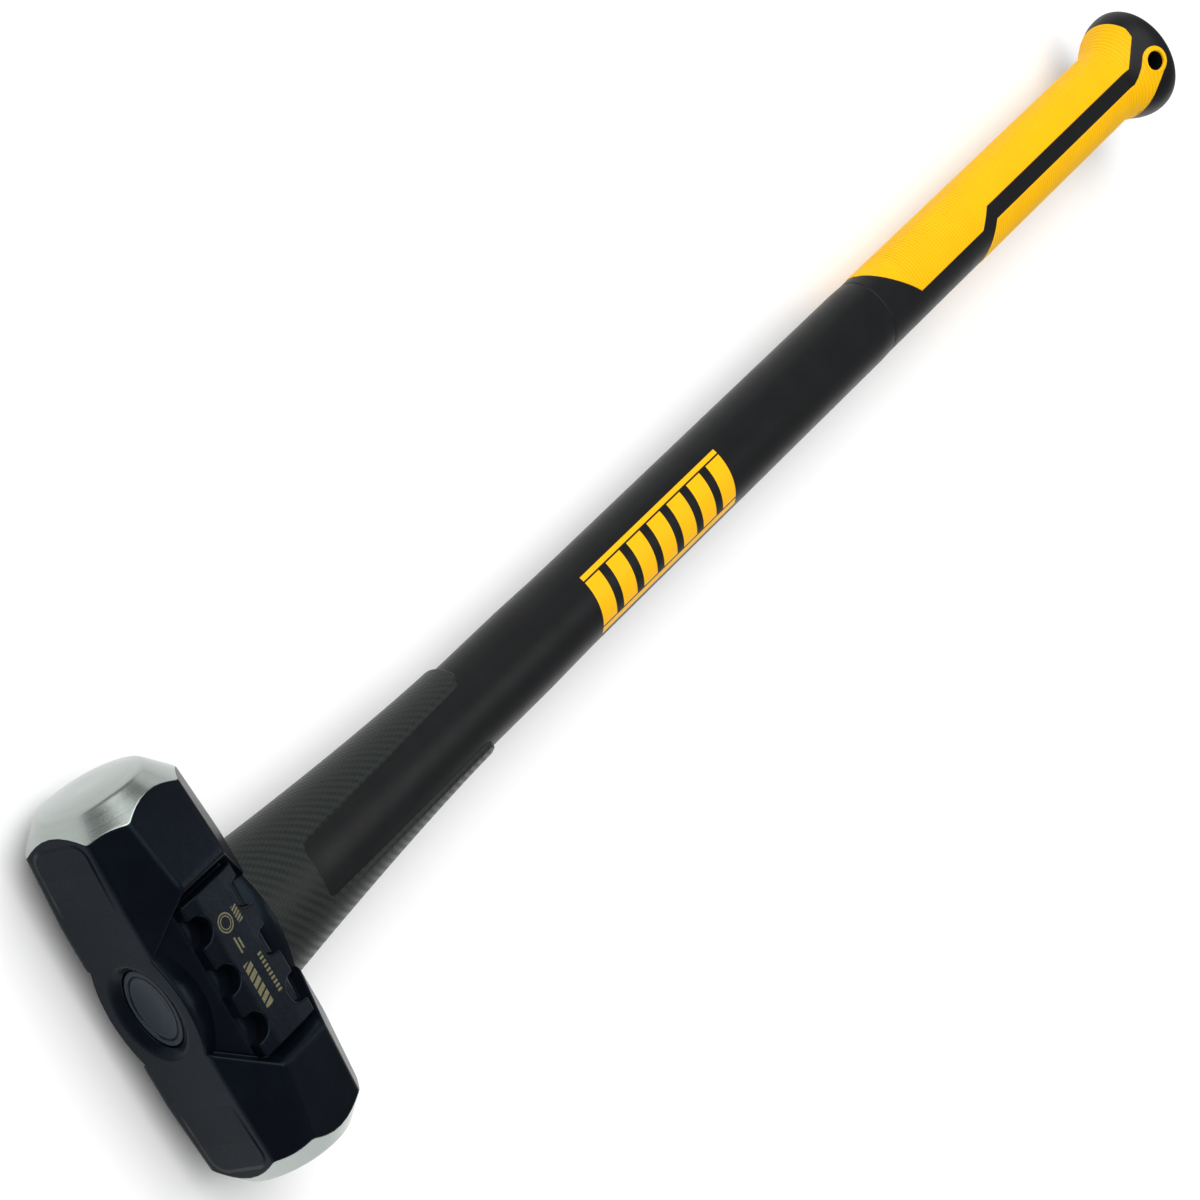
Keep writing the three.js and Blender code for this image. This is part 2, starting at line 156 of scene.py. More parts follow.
class Board:
    """One material's node tree, with a short way to add each kind of node."""

    def __init__(self, material: bpy.types.Material) -> None:
        """Empties the material's tree and keeps it.

        Args:
            material: the material to fill.
        """
        material.use_nodes = True
        self.tree = material.node_tree
        self.tree.nodes.clear()

    def node(self, kind: str, inputs: Optional[dict] = None, **settings: object) -> bpy.types.Node:
        """Any node, with its settings and sockets filled.

        Args:
            kind: the node's type name.
            inputs: socket name or number to a wire, a number or a tuple.
            settings: the node's own properties.

        Returns:
            The new node.
        """
        made = self.tree.nodes.new(kind)
        for name, value in settings.items():
            setattr(made, name, value)
        for name, value in (inputs or {}).items():
            if isinstance(value, Wire):
                self.tree.links.new(value.socket, made.inputs[name])
            else:
                made.inputs[name].default_value = value
        return made

    def wire(self, node: bpy.types.Node, output: Union[str, int] = 0) -> Wire:
        """One of a node's outputs as a wire."""
        return Wire(self, node.outputs[output])

    def math(self, operation: str, *values: Number) -> Wire:
        """A Math node over the values."""
        return self.wire(self.node("ShaderNodeMath", dict(enumerate(values)), operation=operation))

    def clamp(self, value: Wire) -> Wire:
        """A value held between nought and one."""
        return self.wire(self.node("ShaderNodeClamp", {"Value": value}))

    def place(self) -> Wire:
        """The point on the piece, in metres in the frame."""
        return self.wire(self.node("ShaderNodeTexCoord"), "Object")

    def wrap(self) -> Wire:
        """The piece's own measure over its surface: metres across, metres along."""
        return self.wire(self.node("ShaderNodeAttribute", attribute_name="wrap"), "Vector")

    def parts(self, vector: Wire) -> tuple[Wire, Wire, Wire]:
        """A vector's three numbers."""
        split = self.node("ShaderNodeSeparateXYZ", {0: vector})
        return self.wire(split, 0), self.wire(split, 1), self.wire(split, 2)

    def vector(self, x: Number, y: Number, z: Number) -> Wire:
        """Three numbers as a vector."""
        return self.wire(self.node("ShaderNodeCombineXYZ", {0: x, 1: y, 2: z}))

    def stretched(self, vector: Wire, scale: Colour) -> Wire:
        """A vector with each part scaled."""
        made = self.node("ShaderNodeVectorMath", {0: vector, 1: scale}, operation="MULTIPLY")
        return self.wire(made)

    def noise(self, at: Wire, scale: float, detail: float = 3.0, rough: float = 0.55) -> Wire:
        """Cloudy noise from nought to one, at so many lumps to the metre."""
        inputs = {"Vector": at, "Scale": scale, "Detail": detail, "Roughness": rough}
        return self.wire(self.node("ShaderNodeTexNoise", inputs), 0)

    def grain(self, at: Wire, scale: float) -> Wire:
        """Pebbled grain: distance to the nearest of scattered points."""
        return self.wire(self.node("ShaderNodeTexVoronoi", {"Vector": at, "Scale": scale}), "Distance")

    def blend(self, share: Number, first: Union[Colour, Wire], second: Union[Colour, Wire]) -> Wire:
        """Two colours mixed by a share.

        Args:
            share: how much of the second.
            first: the first colour.
            second: the second colour.

        Returns:
            The mix.
        """
        mix = self.node("ShaderNodeMix", data_type="RGBA")
        sockets = {"Factor": mix.inputs[0], "A": mix.inputs[6], "B": mix.inputs[7]}
        for name, value in (("Factor", share), ("A", first), ("B", second)):
            if isinstance(value, Wire):
                self.tree.links.new(value.socket, sockets[name])
            elif name == "Factor":
                sockets[name].default_value = value
            else:
                sockets[name].default_value = (*value, 1.0)
        return self.wire(mix, 2)

    def bump(self, height: Wire, depth: float, strength: float = 1.0) -> Wire:
        """A normal bent by a height of the depth given, in metres."""
        inputs = {"Height": height, "Distance": depth, "Strength": strength}
        return self.wire(self.node("ShaderNodeBump", inputs), "Normal")

    def surface(self, **sockets: Union[Number, Colour]) -> None:
        """The Principled surface and the output, with underscores standing for spaces.

        Args:
            sockets: Principled socket names to wires, numbers or colours.
        """
        ready = {
            name.replace("_", " "): (*value, 1.0) if isinstance(value, tuple) else value
            for name, value in sockets.items()
        }
        shader = self.node("ShaderNodeBsdfPrincipled", ready)
        self.node("ShaderNodeOutputMaterial", {"Surface": self.wire(shader)})


# ---------------------------------------------------------------- finishes


@dataclass(frozen=True)
class Finish:
    """A finish that can be laid on a piece."""

    name: str

    def material(self) -> bpy.types.Material:
        """The finish as a new material.

        Returns:
            The material.
        """
        made = bpy.data.materials.new(self.name)
        self.paint(Board(made))
        return made

    def paint(self, board: Board) -> None:
        """Fills the material's nodes."""
        raise NotImplementedError

    @staticmethod
    def uneven(board: Board, at: Wire, middle: float, scale: float = 120.0) -> Wire:
        """A roughness that drifts slowly over the surface, up to 0.07 either side of the middle."""
        return board.noise(at, scale, 3.0) * 0.14 + (middle - 0.07)

    @staticmethod
    def millimetres(board: Board, centre: Colour) -> tuple[Wire, Wire, Wire]:
        """The point on the piece in millimetres from the head's centre, as its three parts."""
        x, y, z = (part / MM - c for part, c in zip(board.parts(board.place()), centre))
        return x, y, z


@dataclass(frozen=True)
class ForgedPaint(Finish):
    """Satin paint over a forging: orange peel, faint dust and rubbed patches."""

    name: str = "forged_paint"
    colour: Colour = (0.0014, 0.0020, 0.0036)
    dusty: Colour = (0.0042, 0.0058, 0.0092)
    sheen: Colour = (0.55, 0.76, 1.0)
    specular: float = 0.13
    roughness: float = 0.3
    peel_depth: float = 0.000066
    field_height: float = 0.0008
    centre: tuple[float, float, float] = (0.0, 0.0, 0.0)
    field_half: Pair = (77.0, 15.6)
    field_corner: float = 7.0
    field_face: float = 27.0
    field_fade: Pair = (46.0, 64.0)

    def colour_at(self, board: Board, at: Wire) -> Union[Colour, Wire]:
        """The paint's colour with its faint cloudiness."""
        cloud = board.noise(at, 38.0, 5.0, 0.6)
        return board.blend(board.clamp((cloud - 0.42) * 1.6), self.colour, self.dusty)

    def raised_field(self, board: Board) -> Wire:
        """One on the raised field of the top and bottom facets, falling softly at its outline.

        The outline is a box with round corners: how far a point lies outside the box drawn in by
        the corner's radius, compared with that radius.

        Args:
            board: the material's nodes.

        Returns:
            The field as a mask.
        """
        x, y, z = self.millimetres(board, self.centre)
        half_x, half_z = (half - self.field_corner for half in self.field_half)
        out_x, out_z = (abs(x) - half_x).most(0.0), (abs(z) - half_z).most(0.0)
        reach = (out_x * out_x + out_z * out_z).root()
        start, full = self.field_fade
        grows = board.clamp((abs(x) - start) / (full - start))
        return reach.below(self.field_corner, 1.6) * (self.field_face - abs(y)).below(0.0, 0.4) * grows

    def paint(self, board: Board) -> None:
        """Cloudy colour, with peel, fine grain and the facets' raised fields in the bump.

        Args:
            board: the material's nodes.
        """
        at = board.place()
        peel = board.noise(at, 420.0, 2.0, 0.5)
        fine = board.noise(at, 2600.0, 2.0, 0.5)
        relief = (peel + fine * 0.35) * self.peel_depth + self.raised_field(board) * self.field_height
        board.surface(
            Base_Color=self.colour_at(board, at),
            Roughness=self.uneven(board, at, self.roughness, 90.0),
            Normal=board.bump(relief, 1.0),
            Specular_IOR_Level=self.specular,
            Specular_Tint=self.sheen,
        )


@dataclass(frozen=True)
class EtchedPaint(ForgedPaint):
    """The same paint on the pad, with pale etched marks on its upper face."""

    name: str = "etched_paint"
    etch: Colour = (0.17, 0.158, 0.085)
    face_height: float = 32.0
    ring_at: Pair = (-18.4, -1.4)
    rings: Pair = (3.9, 2.7)
    line: float = 0.32
    lean: float = 0.35

    @staticmethod
    def _box(x: Wire, y: Wire, middle: Pair, half: Pair) -> Wire:
        """One inside a box in the plan, nought outside.

        Args:
            x: distance along the head.
            y: distance along the handle.
            middle: the box's middle.
            half: its half sizes.

        Returns:
            The box as a mask.
        """
        across = abs(x - middle[0]).below(half[0], 0.15)
        return across * abs(y - middle[1]).below(half[1], 0.15)

    @staticmethod
    def _stripes(along: Wire, pitch: float, half: float, soft: float) -> Wire:
        """Even stripes across a measure, each so much of the pitch either side of its middle."""
        return abs((along / pitch).part() - 0.5).below(half, soft)

    def marks(self, board: Board) -> Wire:
        """Two rings, a row of bars, a row of ticks, a row of notches and two dashes.

        Args:
            board: the material's nodes.

        Returns:
            The marks as a mask, on the upper cheek only.
        """
        x, y, z = self.millimetres(board, self.centre)
        away = ((x - self.ring_at[0]) ** 2.0 + (y - self.ring_at[1]) ** 2.0).root()
        slant = x + y * self.lean
        mask = abs(away - self.rings[0]).below(self.line, 0.15)
        for block in (
            abs(away - self.rings[1]).below(self.line * 0.7, 0.15),
            self._box(x, y, (10.0, -2.6), (10.0, 2.4)) * self._stripes(slant, 3.3, 0.36, 0.05),
            self._box(x, y, (9.8, 5.6), (9.6, 1.2)) * self._stripes(x, 1.9, 0.27, 0.08),
            self._box(x, y, (-18.2, 6.0), (3.6, 1.6)) * self._stripes(slant, 1.5, 0.3, 0.08),
            self._box(x, y, (-7.8, -1.6), (3.6, 0.5)),
            self._box(x, y, (-7.8, 0.4), (2.4, 0.5)),
        ):
            mask = mask.most(block)
        return mask * (1.0 - z.below(self.face_height, 0.5))

    def colour_at(self, board: Board, at: Wire) -> Wire:
        """The paint's colour with the marks laid over it, a little worn.

        Args:
            board: the material's nodes.
            at: the point on the piece.

        Returns:
            The colour there.
        """
        under = super().colour_at(board, at)
        worn = board.clamp(board.noise(at, 900.0, 3.0) * 1.1 + 0.2)
        return board.blend(self.marks(board) * worn, under, self.etch)


@dataclass(frozen=True)
class TurnedSteel(Finish):
    """Bare turned steel: fine rings round the head's axis under a clear lacquer."""

    name: str = "turned_steel"
    colour: Colour = (0.43, 0.475, 0.45)
    dull: Colour = (0.18, 0.205, 0.195)
    centre: tuple[float, float, float] = (0.0, 0.0, 0.0)
    ring_pitch: float = 0.42

    def paint(self, board: Board) -> None:
        """Rings from the distance to the axis, broken up by noise.

        Args:
            board: the material's nodes.
        """
        x, y, z = self.millimetres(board, self.centre)
        away = (y * y + z * z).root()
        rings = ((away + x * 0.6) * (FULL_TURN / self.ring_pitch)).sine() * 0.5 + 0.5
        smear = board.noise(board.vector(away * 0.9, x * 0.9, 0.0), 1.0, 4.0, 0.7)
        tone = board.clamp(smear * 0.5 + rings * 0.12 + 0.3)
        board.surface(
            Base_Color=board.blend(tone, self.dull, self.colour),
            Metallic=1.0,
            Roughness=smear * 0.18 + 0.16,
            Normal=board.bump(rings * 0.5 + smear, 0.00002, 0.5),
            Coat_Weight=0.3,
            Coat_Roughness=0.12,
        )


@dataclass(frozen=True)
class Moulded(Finish):
    """Moulded plastic or rubber with a fine pebble grain."""

    name: str = "moulded"
    colour: Colour = (0.0035, 0.0038, 0.0044)
    second: Colour = (0.0065, 0.007, 0.0078)
    roughness: float = 0.38
    grain_scale: float = 1500.0
    grain_depth: float = 0.00003
    specular: float = 0.16

    def colour_at(self, board: Board, at: Wire) -> Wire:
        """Two close tones in slow clouds."""
        return board.blend(board.clamp(board.noise(at, 55.0, 4.0) * 1.4 - 0.2), self.colour, self.second)

    def paint(self, board: Board) -> None:
        """Clouded colour, uneven sheen and pebble bump.

        Args:
            board: the material's nodes.
        """
        at = board.place()
        grain = board.grain(at, self.grain_scale)
        board.surface(
            Base_Color=self.colour_at(board, at),
            Roughness=self.uneven(board, at, self.roughness),
            Normal=board.bump(grain, self.grain_depth, 0.5),
            Specular_IOR_Level=self.specular,
        )


@dataclass(frozen=True)
class CapPlastic(Moulded):
    """The eye cap's plastic, brushed faintly across."""

    name: str = "cap_plastic"
    colour: Colour = (0.004, 0.0055, 0.0085)
    second: Colour = (0.009, 0.012, 0.017)
    roughness: float = 0.34

    def paint(self, board: Board) -> None:
        """Moulded tones with short brush lines along the head.

        Args:
            board: the material's nodes.
        """
        at = board.place()
        brush = board.noise(board.stretched(at, (260.0, 1200.0, 2400.0)), 1.0, 3.0, 0.7)
        board.surface(
            Base_Color=self.colour_at(board, at),
            Roughness=brush * 0.2 + (self.roughness - 0.1),
            Normal=board.bump(brush, 0.00006, 0.6),
            Specular_IOR_Level=0.3,
            Specular_Tint=(0.6, 0.8, 1.0),
        )


@dataclass(frozen=True)
class TwillWeave(Finish):
    """Woven twill under satin resin: each tow floats over two, stepping one at each row."""

    name: str = "twill_weave"
    tow: float = 0.0013
    # dark is the black base; light is the tone the painted sheen lifts the warp and crowns towards
    dark: Colour = (0.0055, 0.0072, 0.0064)
    light: Colour = (0.018, 0.0228, 0.0205)
    roughness: float = 0.4

    def paint(self, board: Board) -> None:
        """Warp and weft cells from the piece's own measure, crowned, with the sheen painted in: warp cells
        lit lighter than weft and each tow's crown a painted highlight.

        Args:
            board: the material's nodes.
        """
        across, along, _ = board.parts(board.wrap())
        u, v = across / self.tow, along / self.tow
        column, row = u.floor(), v.floor()
        step = ((column - row) / 4.0).part()
        warp = step.below(0.49, 0.02)
        crown_u = 1.0 - ((u.part() - 0.5) * 2.0) ** 2.0
        crown_v = 1.0 - ((v.part() - 0.5) * 2.0) ** 2.0
        crown = crown_u * warp + crown_v * (1.0 - warp)
        strands = board.noise(board.stretched(board.wrap(), (5200.0, 900.0, 1.0)), 1.0, 2.0)
        # painted sheen and highlight: warp cells lit lighter than weft and each tow's crown lighter; the
        # strands add real tone
        tone = board.clamp(warp * 0.42 + crown * 0.28 + strands * 0.25 - 0.1)
        board.surface(
            Base_Color=board.blend(tone, self.dark, self.light),
            Roughness=warp * 0.12 + (self.roughness - 0.05),
            Normal=board.bump(crown, 0.00009, 0.5),
            Specular_IOR_Level=0.2,
        )


@dataclass(frozen=True)
class ShaftPolymer(Moulded):
    """The shaft's black polymer, with a printed band of slanted bars between two rails."""

    name: str = "shaft_polymer"
    ink: Colour = (0.90, 0.46, 0.001)
    centre: tuple[float, float, float] = (0.0, 0.0, 0.0)
    band: Pair = (287.6, 404.6)
    rails: tuple[Pair, Pair] = ((-0.60, -0.475), (0.765, 0.955))
    rail_gap: float = 0.045
    half: Pair = (20.4, 16.3)
    bars: int = 7
    bar_share: float = 0.66
    soft: float = 0.012

    def printed(self, board: Board) -> Wire:
        """The print's mask, from the angle round the shaft and the distance along it.

        Args:
            board: the material's nodes.

        Returns:
            One on the ink, nought beside it.
        """
        x, y, z = self.millimetres(board, self.centre)
        turn = board.math("ARCTAN2", x / self.half[0], z / self.half[1])
        low, high = self.band
        middle, half = (low + high) / 2.0, (high - low) / 2.0
        inside = abs(y - middle).below(half, 0.25)
        body_span = (self.rails[0][1] + self.rail_gap, self.rails[1][0] - self.rail_gap)
        first, second, body = (
            abs(turn - (start + end) / 2.0).below((end - start) / 2.0, self.soft)
            for start, end in (*self.rails, body_span)
        )
        gap = 1.0 - self.bar_share
        share = ((y - low) * ((self.bars - gap) / (high - low))).part()
        bars = share.below(self.bar_share, 0.015)
        return board.clamp((body * bars + first + second) * inside)

    def paint(self, board: Board) -> None:
        """Moulded black with the ink laid over it.

        Args:
            board: the material's nodes.
        """
        at = board.place()
        ink = self.printed(board)
        grain = board.grain(at, self.grain_scale)
        board.surface(
            Base_Color=board.blend(ink, self.colour_at(board, at), self.ink),
            Roughness=self.uneven(board, at, self.roughness),
            Normal=board.bump(grain + ink, self.grain_depth, 0.5),
            Specular_IOR_Level=self.specular,
        )


@dataclass(frozen=True)
class YellowRubber(Moulded):
    """Soft yellow rubber, darker in the ribs' valleys: painted shade."""

    name: str = "grip_yellow"
    colour: Colour = (0.84, 0.44, 0.0)
    second: Colour = (0.93, 0.51, 0.0)
    # painted shade: the darker yellow laid in the valleys between the ribs
    valley_shade: Colour = (0.66, 0.30, 0.0)
    pitch: float = 0.0022
    phase: float = 0.0
    roughness: float = 0.5
    grain_scale: float = 1900.0
    specular: float = 0.12

    def colour_at(self, board: Board, at: Wire) -> Wire:
        """Two close yellows, mixed towards a darker one between the ribs as painted shade.

        Args:
            board: the material's nodes.
            at: the point on the piece.

        Returns:
            The colour there.
        """
        _, along, _ = board.parts(at)
        # painted shade, darkest in each valley between the rib crests
        wave = ((along - self.phase) * (FULL_TURN / self.pitch) + np.pi / 2).sine() * 0.5 + 0.5
        return board.blend(wave * 0.42, super().colour_at(board, at), self.valley_shade)


@dataclass(frozen=True)
class StudioPaper(Finish):
    """Seamless pale paper."""

    name: str = "studio_paper"
    colour: Colour = (0.93, 0.93, 0.93)
    shade: Colour = (0.9, 0.9, 0.9)

    def paint(self, board: Board) -> None:
        """Almost even tone with a fine tooth.

        Args:
            board: the material's nodes.
        """
        at = board.place()
        tooth = board.noise(at, 700.0, 3.0)
        board.surface(
            Base_Color=board.blend(tooth * 0.3, self.colour, self.shade),
            Roughness=0.9,
            Normal=board.bump(tooth, 0.0001, 0.15),
        )


# ---------------------------------------------------------------- surfaces


@dataclass
class Shell:
    """A grid surface ready to join a piece.

    rows is (R, C, 3) points in millimetres. closed_across joins the last column to the first and
    closed_along the last row to the first. paints gives each band of rows its material number.
    """

    rows: Grid
    closed_across: bool = True
    closed_along: bool = False
    paints: Optional[Grid] = None
    wrap: Optional[Grid] = None

    def faces(self) -> tuple[Grid, Grid]:
        """The grid's four-cornered faces and their material numbers.

        Each face joins point (r, c) to (r, c+1), (r+1, c+1) and (r+1, c).

        Returns:
            The faces and their material numbers.
        """
        count, width = self.rows.shape[:2]
        number = np.arange(count * width).reshape(count, width)
        if self.closed_across:
            number = np.concatenate([number, number[:, :1]], axis=1)
        if self.closed_along:
            number = np.concatenate([number, number[:1]], axis=0)
        quads = np.stack([number[:-1, :-1], number[:-1, 1:], number[1:, 1:], number[1:, :-1]], -1)
        paints = np.zeros(quads.shape[0], int) if self.paints is None else self.paints
        return quads.reshape(-1, 4), np.repeat(paints, quads.shape[1])


@dataclass(frozen=True)
class Workshop:
    """centre is the head's centre in the frame, in millimetres, and butt the handle's end from it.
    """

    centre: tuple[float, float, float]
    butt: float

    @classmethod
    def from_frame(cls) -> "Workshop":
        """Reads the head's and the butt's boxes.

        Returns:
            A workshop with its places set.
        """
        low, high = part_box("head")
        centre = tuple((a + b) / 2.0 / MM for a, b in zip(low, high))
        return cls(centre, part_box("butt_knob")[1].y / MM - centre[1])

    def make(
        self,
        name: str,
        slot: str,
        shells: Sequence[Shell],
        finishes: Sequence[Finish],
        nodes: Sequence[str],
        outward: bool = True,
    ) -> bpy.types.Object:
        """Joins shells into one finished piece that rides on the frame.

        Args:
            name: the piece's name.
            slot: the record's material slot name; not used.
            shells: its surfaces.
            finishes: its finishes, in the order of the shells' material numbers.
            nodes: the frame's nodes it stands for.
            outward: whether to turn every face outwards.

        Returns:
            The new object.
        """
        points, faces, paints, wraps, start = [], [], [], [], 0
        for shell in shells:
            quads, numbers = shell.faces()
            points.append(shell.rows.reshape(-1, 3))
            flat = points[-1] if shell.wrap is None else shell.wrap.reshape(-1, 3)
            faces.append(quads + start)
            paints.append(numbers)
            wraps.append(flat)
            start += len(points[-1])
        mesh = bpy.data.meshes.new(name)
        placed = (np.concatenate(points) + np.array(self.centre)) * MM
        mesh.from_pydata(placed, [], np.concatenate(faces).tolist())
        mesh.polygons.foreach_set("material_index", np.concatenate(paints).astype(np.int32))
        wrap = mesh.attributes.new("wrap", "FLOAT_VECTOR", "POINT")
        wrap.data.foreach_set("vector", (np.concatenate(wraps) * MM).astype(np.float32).ravel())
        self._weld(mesh, outward)
        for finish in finishes:
            mesh.materials.append(finish.material())
        made = bpy.data.objects.new(name, mesh)
        bpy.context.scene.collection.objects.link(made)
        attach(made, "root")
        if nodes:
            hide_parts(*nodes)
        log.info("%s: %d points, %d faces", name, len(mesh.vertices), len(mesh.polygons))
        return made

    def _weld(self, mesh: bpy.types.Mesh, outward: bool) -> None:
        """Merges doubles, drops slivers, turns faces outwards and sets area-weighted normals.

        Args:
            mesh: the mesh to finish.
            outward: whether to turn every face outwards.
        """
        work = bmesh.new()
        work.from_mesh(mesh)
        bmesh.ops.remove_doubles(work, verts=work.verts, dist=2e-6)
        bmesh.ops.dissolve_degenerate(work, edges=work.edges, dist=1e-7)
        if outward:
            bmesh.ops.recalc_face_normals(work, faces=work.faces)
        work.to_mesh(mesh)
        work.free()
        mesh.polygons.foreach_set("use_smooth", np.ones(len(mesh.polygons), bool))
        area, normal = np.empty(len(mesh.polygons)), np.empty(len(mesh.polygons) * 3)
        total = np.empty(len(mesh.polygons), np.int32)
        corner = np.empty(len(mesh.loops), np.int32)
        mesh.polygons.foreach_get("area", area)
        mesh.polygons.foreach_get("normal", normal)
        mesh.polygons.foreach_get("loop_total", total)
        mesh.loops.foreach_get("vertex_index", corner)
        weighted = np.repeat(normal.reshape(-1, 3) * area[:, None], total, axis=0)
        summed = np.zeros((len(mesh.vertices), 3))
        np.add.at(summed, corner, weighted)
        summed /= np.maximum(np.linalg.norm(summed, axis=1, keepdims=True), 1e-20)
        mesh.normals_split_custom_set_from_vertices(summed)


def spaced(count: int) -> Grid:
    """So many shares strictly between nought and one, closer together near both ends."""
    return (1.0 - np.cos(np.pi * np.arange(1, count + 1) / (count + 1))) / 2.0


def capped(rows: Grid) -> Grid:
    """Rows closed at both ends by a point in the middle of the first row and of the last."""
    cap = rows.mean(axis=1, keepdims=True) + np.zeros_like(rows[:1])
    return np.concatenate([cap[:1], rows, cap[-1:]])


def quarter_round(size: float, steps: int) -> list[Pair]:
    """A rounded edge as pairs of how far it is drawn in and how far it has dropped."""
    turn = np.linspace(0.0, np.pi / 2, steps)
    return [(size * (1 - np.cos(t)), size * (1 - np.sin(t))) for t in turn]


def eased(share: Grid) -> Grid:
    """A share with soft starts and stops: 3s^2 - 2s^3, held between nought and one."""
    held = np.clip(share, 0.0, 1.0)
    return held * held * (3.0 - 2.0 * held)


def rounded(keys: Grid, cuts: Sequence[float], fill: Sequence[int], arc: int = 6) -> Grid:
    """Rows that follow each column's path through the keys, with its corners rounded.

    A corner C is replaced by (1-s)^2 A + 2 s (1-s) C + s^2 B, where A and B lie at the cut's
    distance before and after it, or nearer where the path is short.

    Args:
        keys: (K, C, 3) corner points, one path to a column.
        cuts: the distance cut back at each key.
        fill: rows added on each straight stretch.
        arc: rows on each rounded corner.

    Returns:
        (R, C, 3) rows.
    """
    steps = np.linspace(0.0, 1.0, arc)[:, None, None]
    rows = [keys[:1]]
    for k in range(1, len(keys)):
        corner = keys[k]
        last = k == len(keys) - 1
        back = keys[k - 1] - corner
        room = np.linalg.norm(back, axis=1, keepdims=True) + 1e-9
        reach = 0.0
        if not last:
            ahead = keys[k + 1] - corner
            far = np.linalg.norm(ahead, axis=1, keepdims=True) + 1e-9
            reach = np.minimum(cuts[k], 0.45 * np.minimum(room, far))
        start, arrive = rows[-1][-1], corner + back / room * reach
        shares = spaced(fill[k - 1])[:, None, None]
        rows.append(start + (arrive - start) * shares)
        if last or cuts[k] == 0.0:
            rows.append(corner[None])
            continue
        leave = corner + ahead / far * reach
        rows.append((1 - steps) ** 2 * arrive + 2 * steps * (1 - steps) * corner + steps**2 * leave)
    return np.concatenate(rows)


def rounded_ring(corners: Grid, cut: float, fill: int, arc: int = 6) -> Grid:
    """Closed polygons with their corners rounded, as (K, C, 3) for K polygons.

    Args:
        corners: (K, P, 3) polygons with the same number of corners.
        cut: the distance cut back at each corner.
        fill: points added on each side.
        arc: points on each rounded corner.

    Returns:
        The rounded rings.
    """
    steps = np.linspace(0.0, 1.0, arc)
    before, after = np.roll(corners, 1, axis=1), np.roll(corners, -1, axis=1)
    back, ahead = before - corners, after - corners
    room = np.linalg.norm(back, axis=2, keepdims=True) + 1e-9
    far = np.linalg.norm(ahead, axis=2, keepdims=True) + 1e-9
    arrive = corners + back / room * np.minimum(cut, 0.45 * room)
    leave = corners + ahead / far * np.minimum(cut, 0.45 * far)
    turns = [(1 - s) ** 2 * arrive + 2 * s * (1 - s) * corners + s * s * leave for s in steps]
    following = np.roll(arrive, -1, axis=1)
    sides = [leave + (following - leave) * s for s in spaced(fill)]
    both = np.stack(turns + sides, axis=2)
    return both.reshape(len(corners), -1, 3)


# ---------------------------------------------------------------- the head


@dataclass(frozen=True)
class Section:
    """Half sizes of an octagonal section: overall, and of its top and cheek flats."""

    height: float
    thickness: float
    top_flat: float
    cheek_flat: float

    def corners(self, cheek_x: float, top_x: float) -> Grid:
        """The eight corners going round, with each kind at its own place along the head.

        Args:
            cheek_x: where the corners beside the cheeks lie.
            top_x: where the corners beside the top and bottom lie.

        Returns:
            (8, 3) points.
        """
        cheek = (cheek_x, self.cheek_flat, self.thickness)
        top = (top_x, self.height, self.top_flat)
        signs = [(cheek, 1, 1), (top, 1, 1), (top, 1, -1), (cheek, 1, -1)]
        signs += [(cheek, -1, -1), (top, -1, -1), (top, -1, 1), (cheek, -1, 1)]
        return np.array([(p[0], p[1] * sy, p[2] * sz) for p, sy, sz in signs])


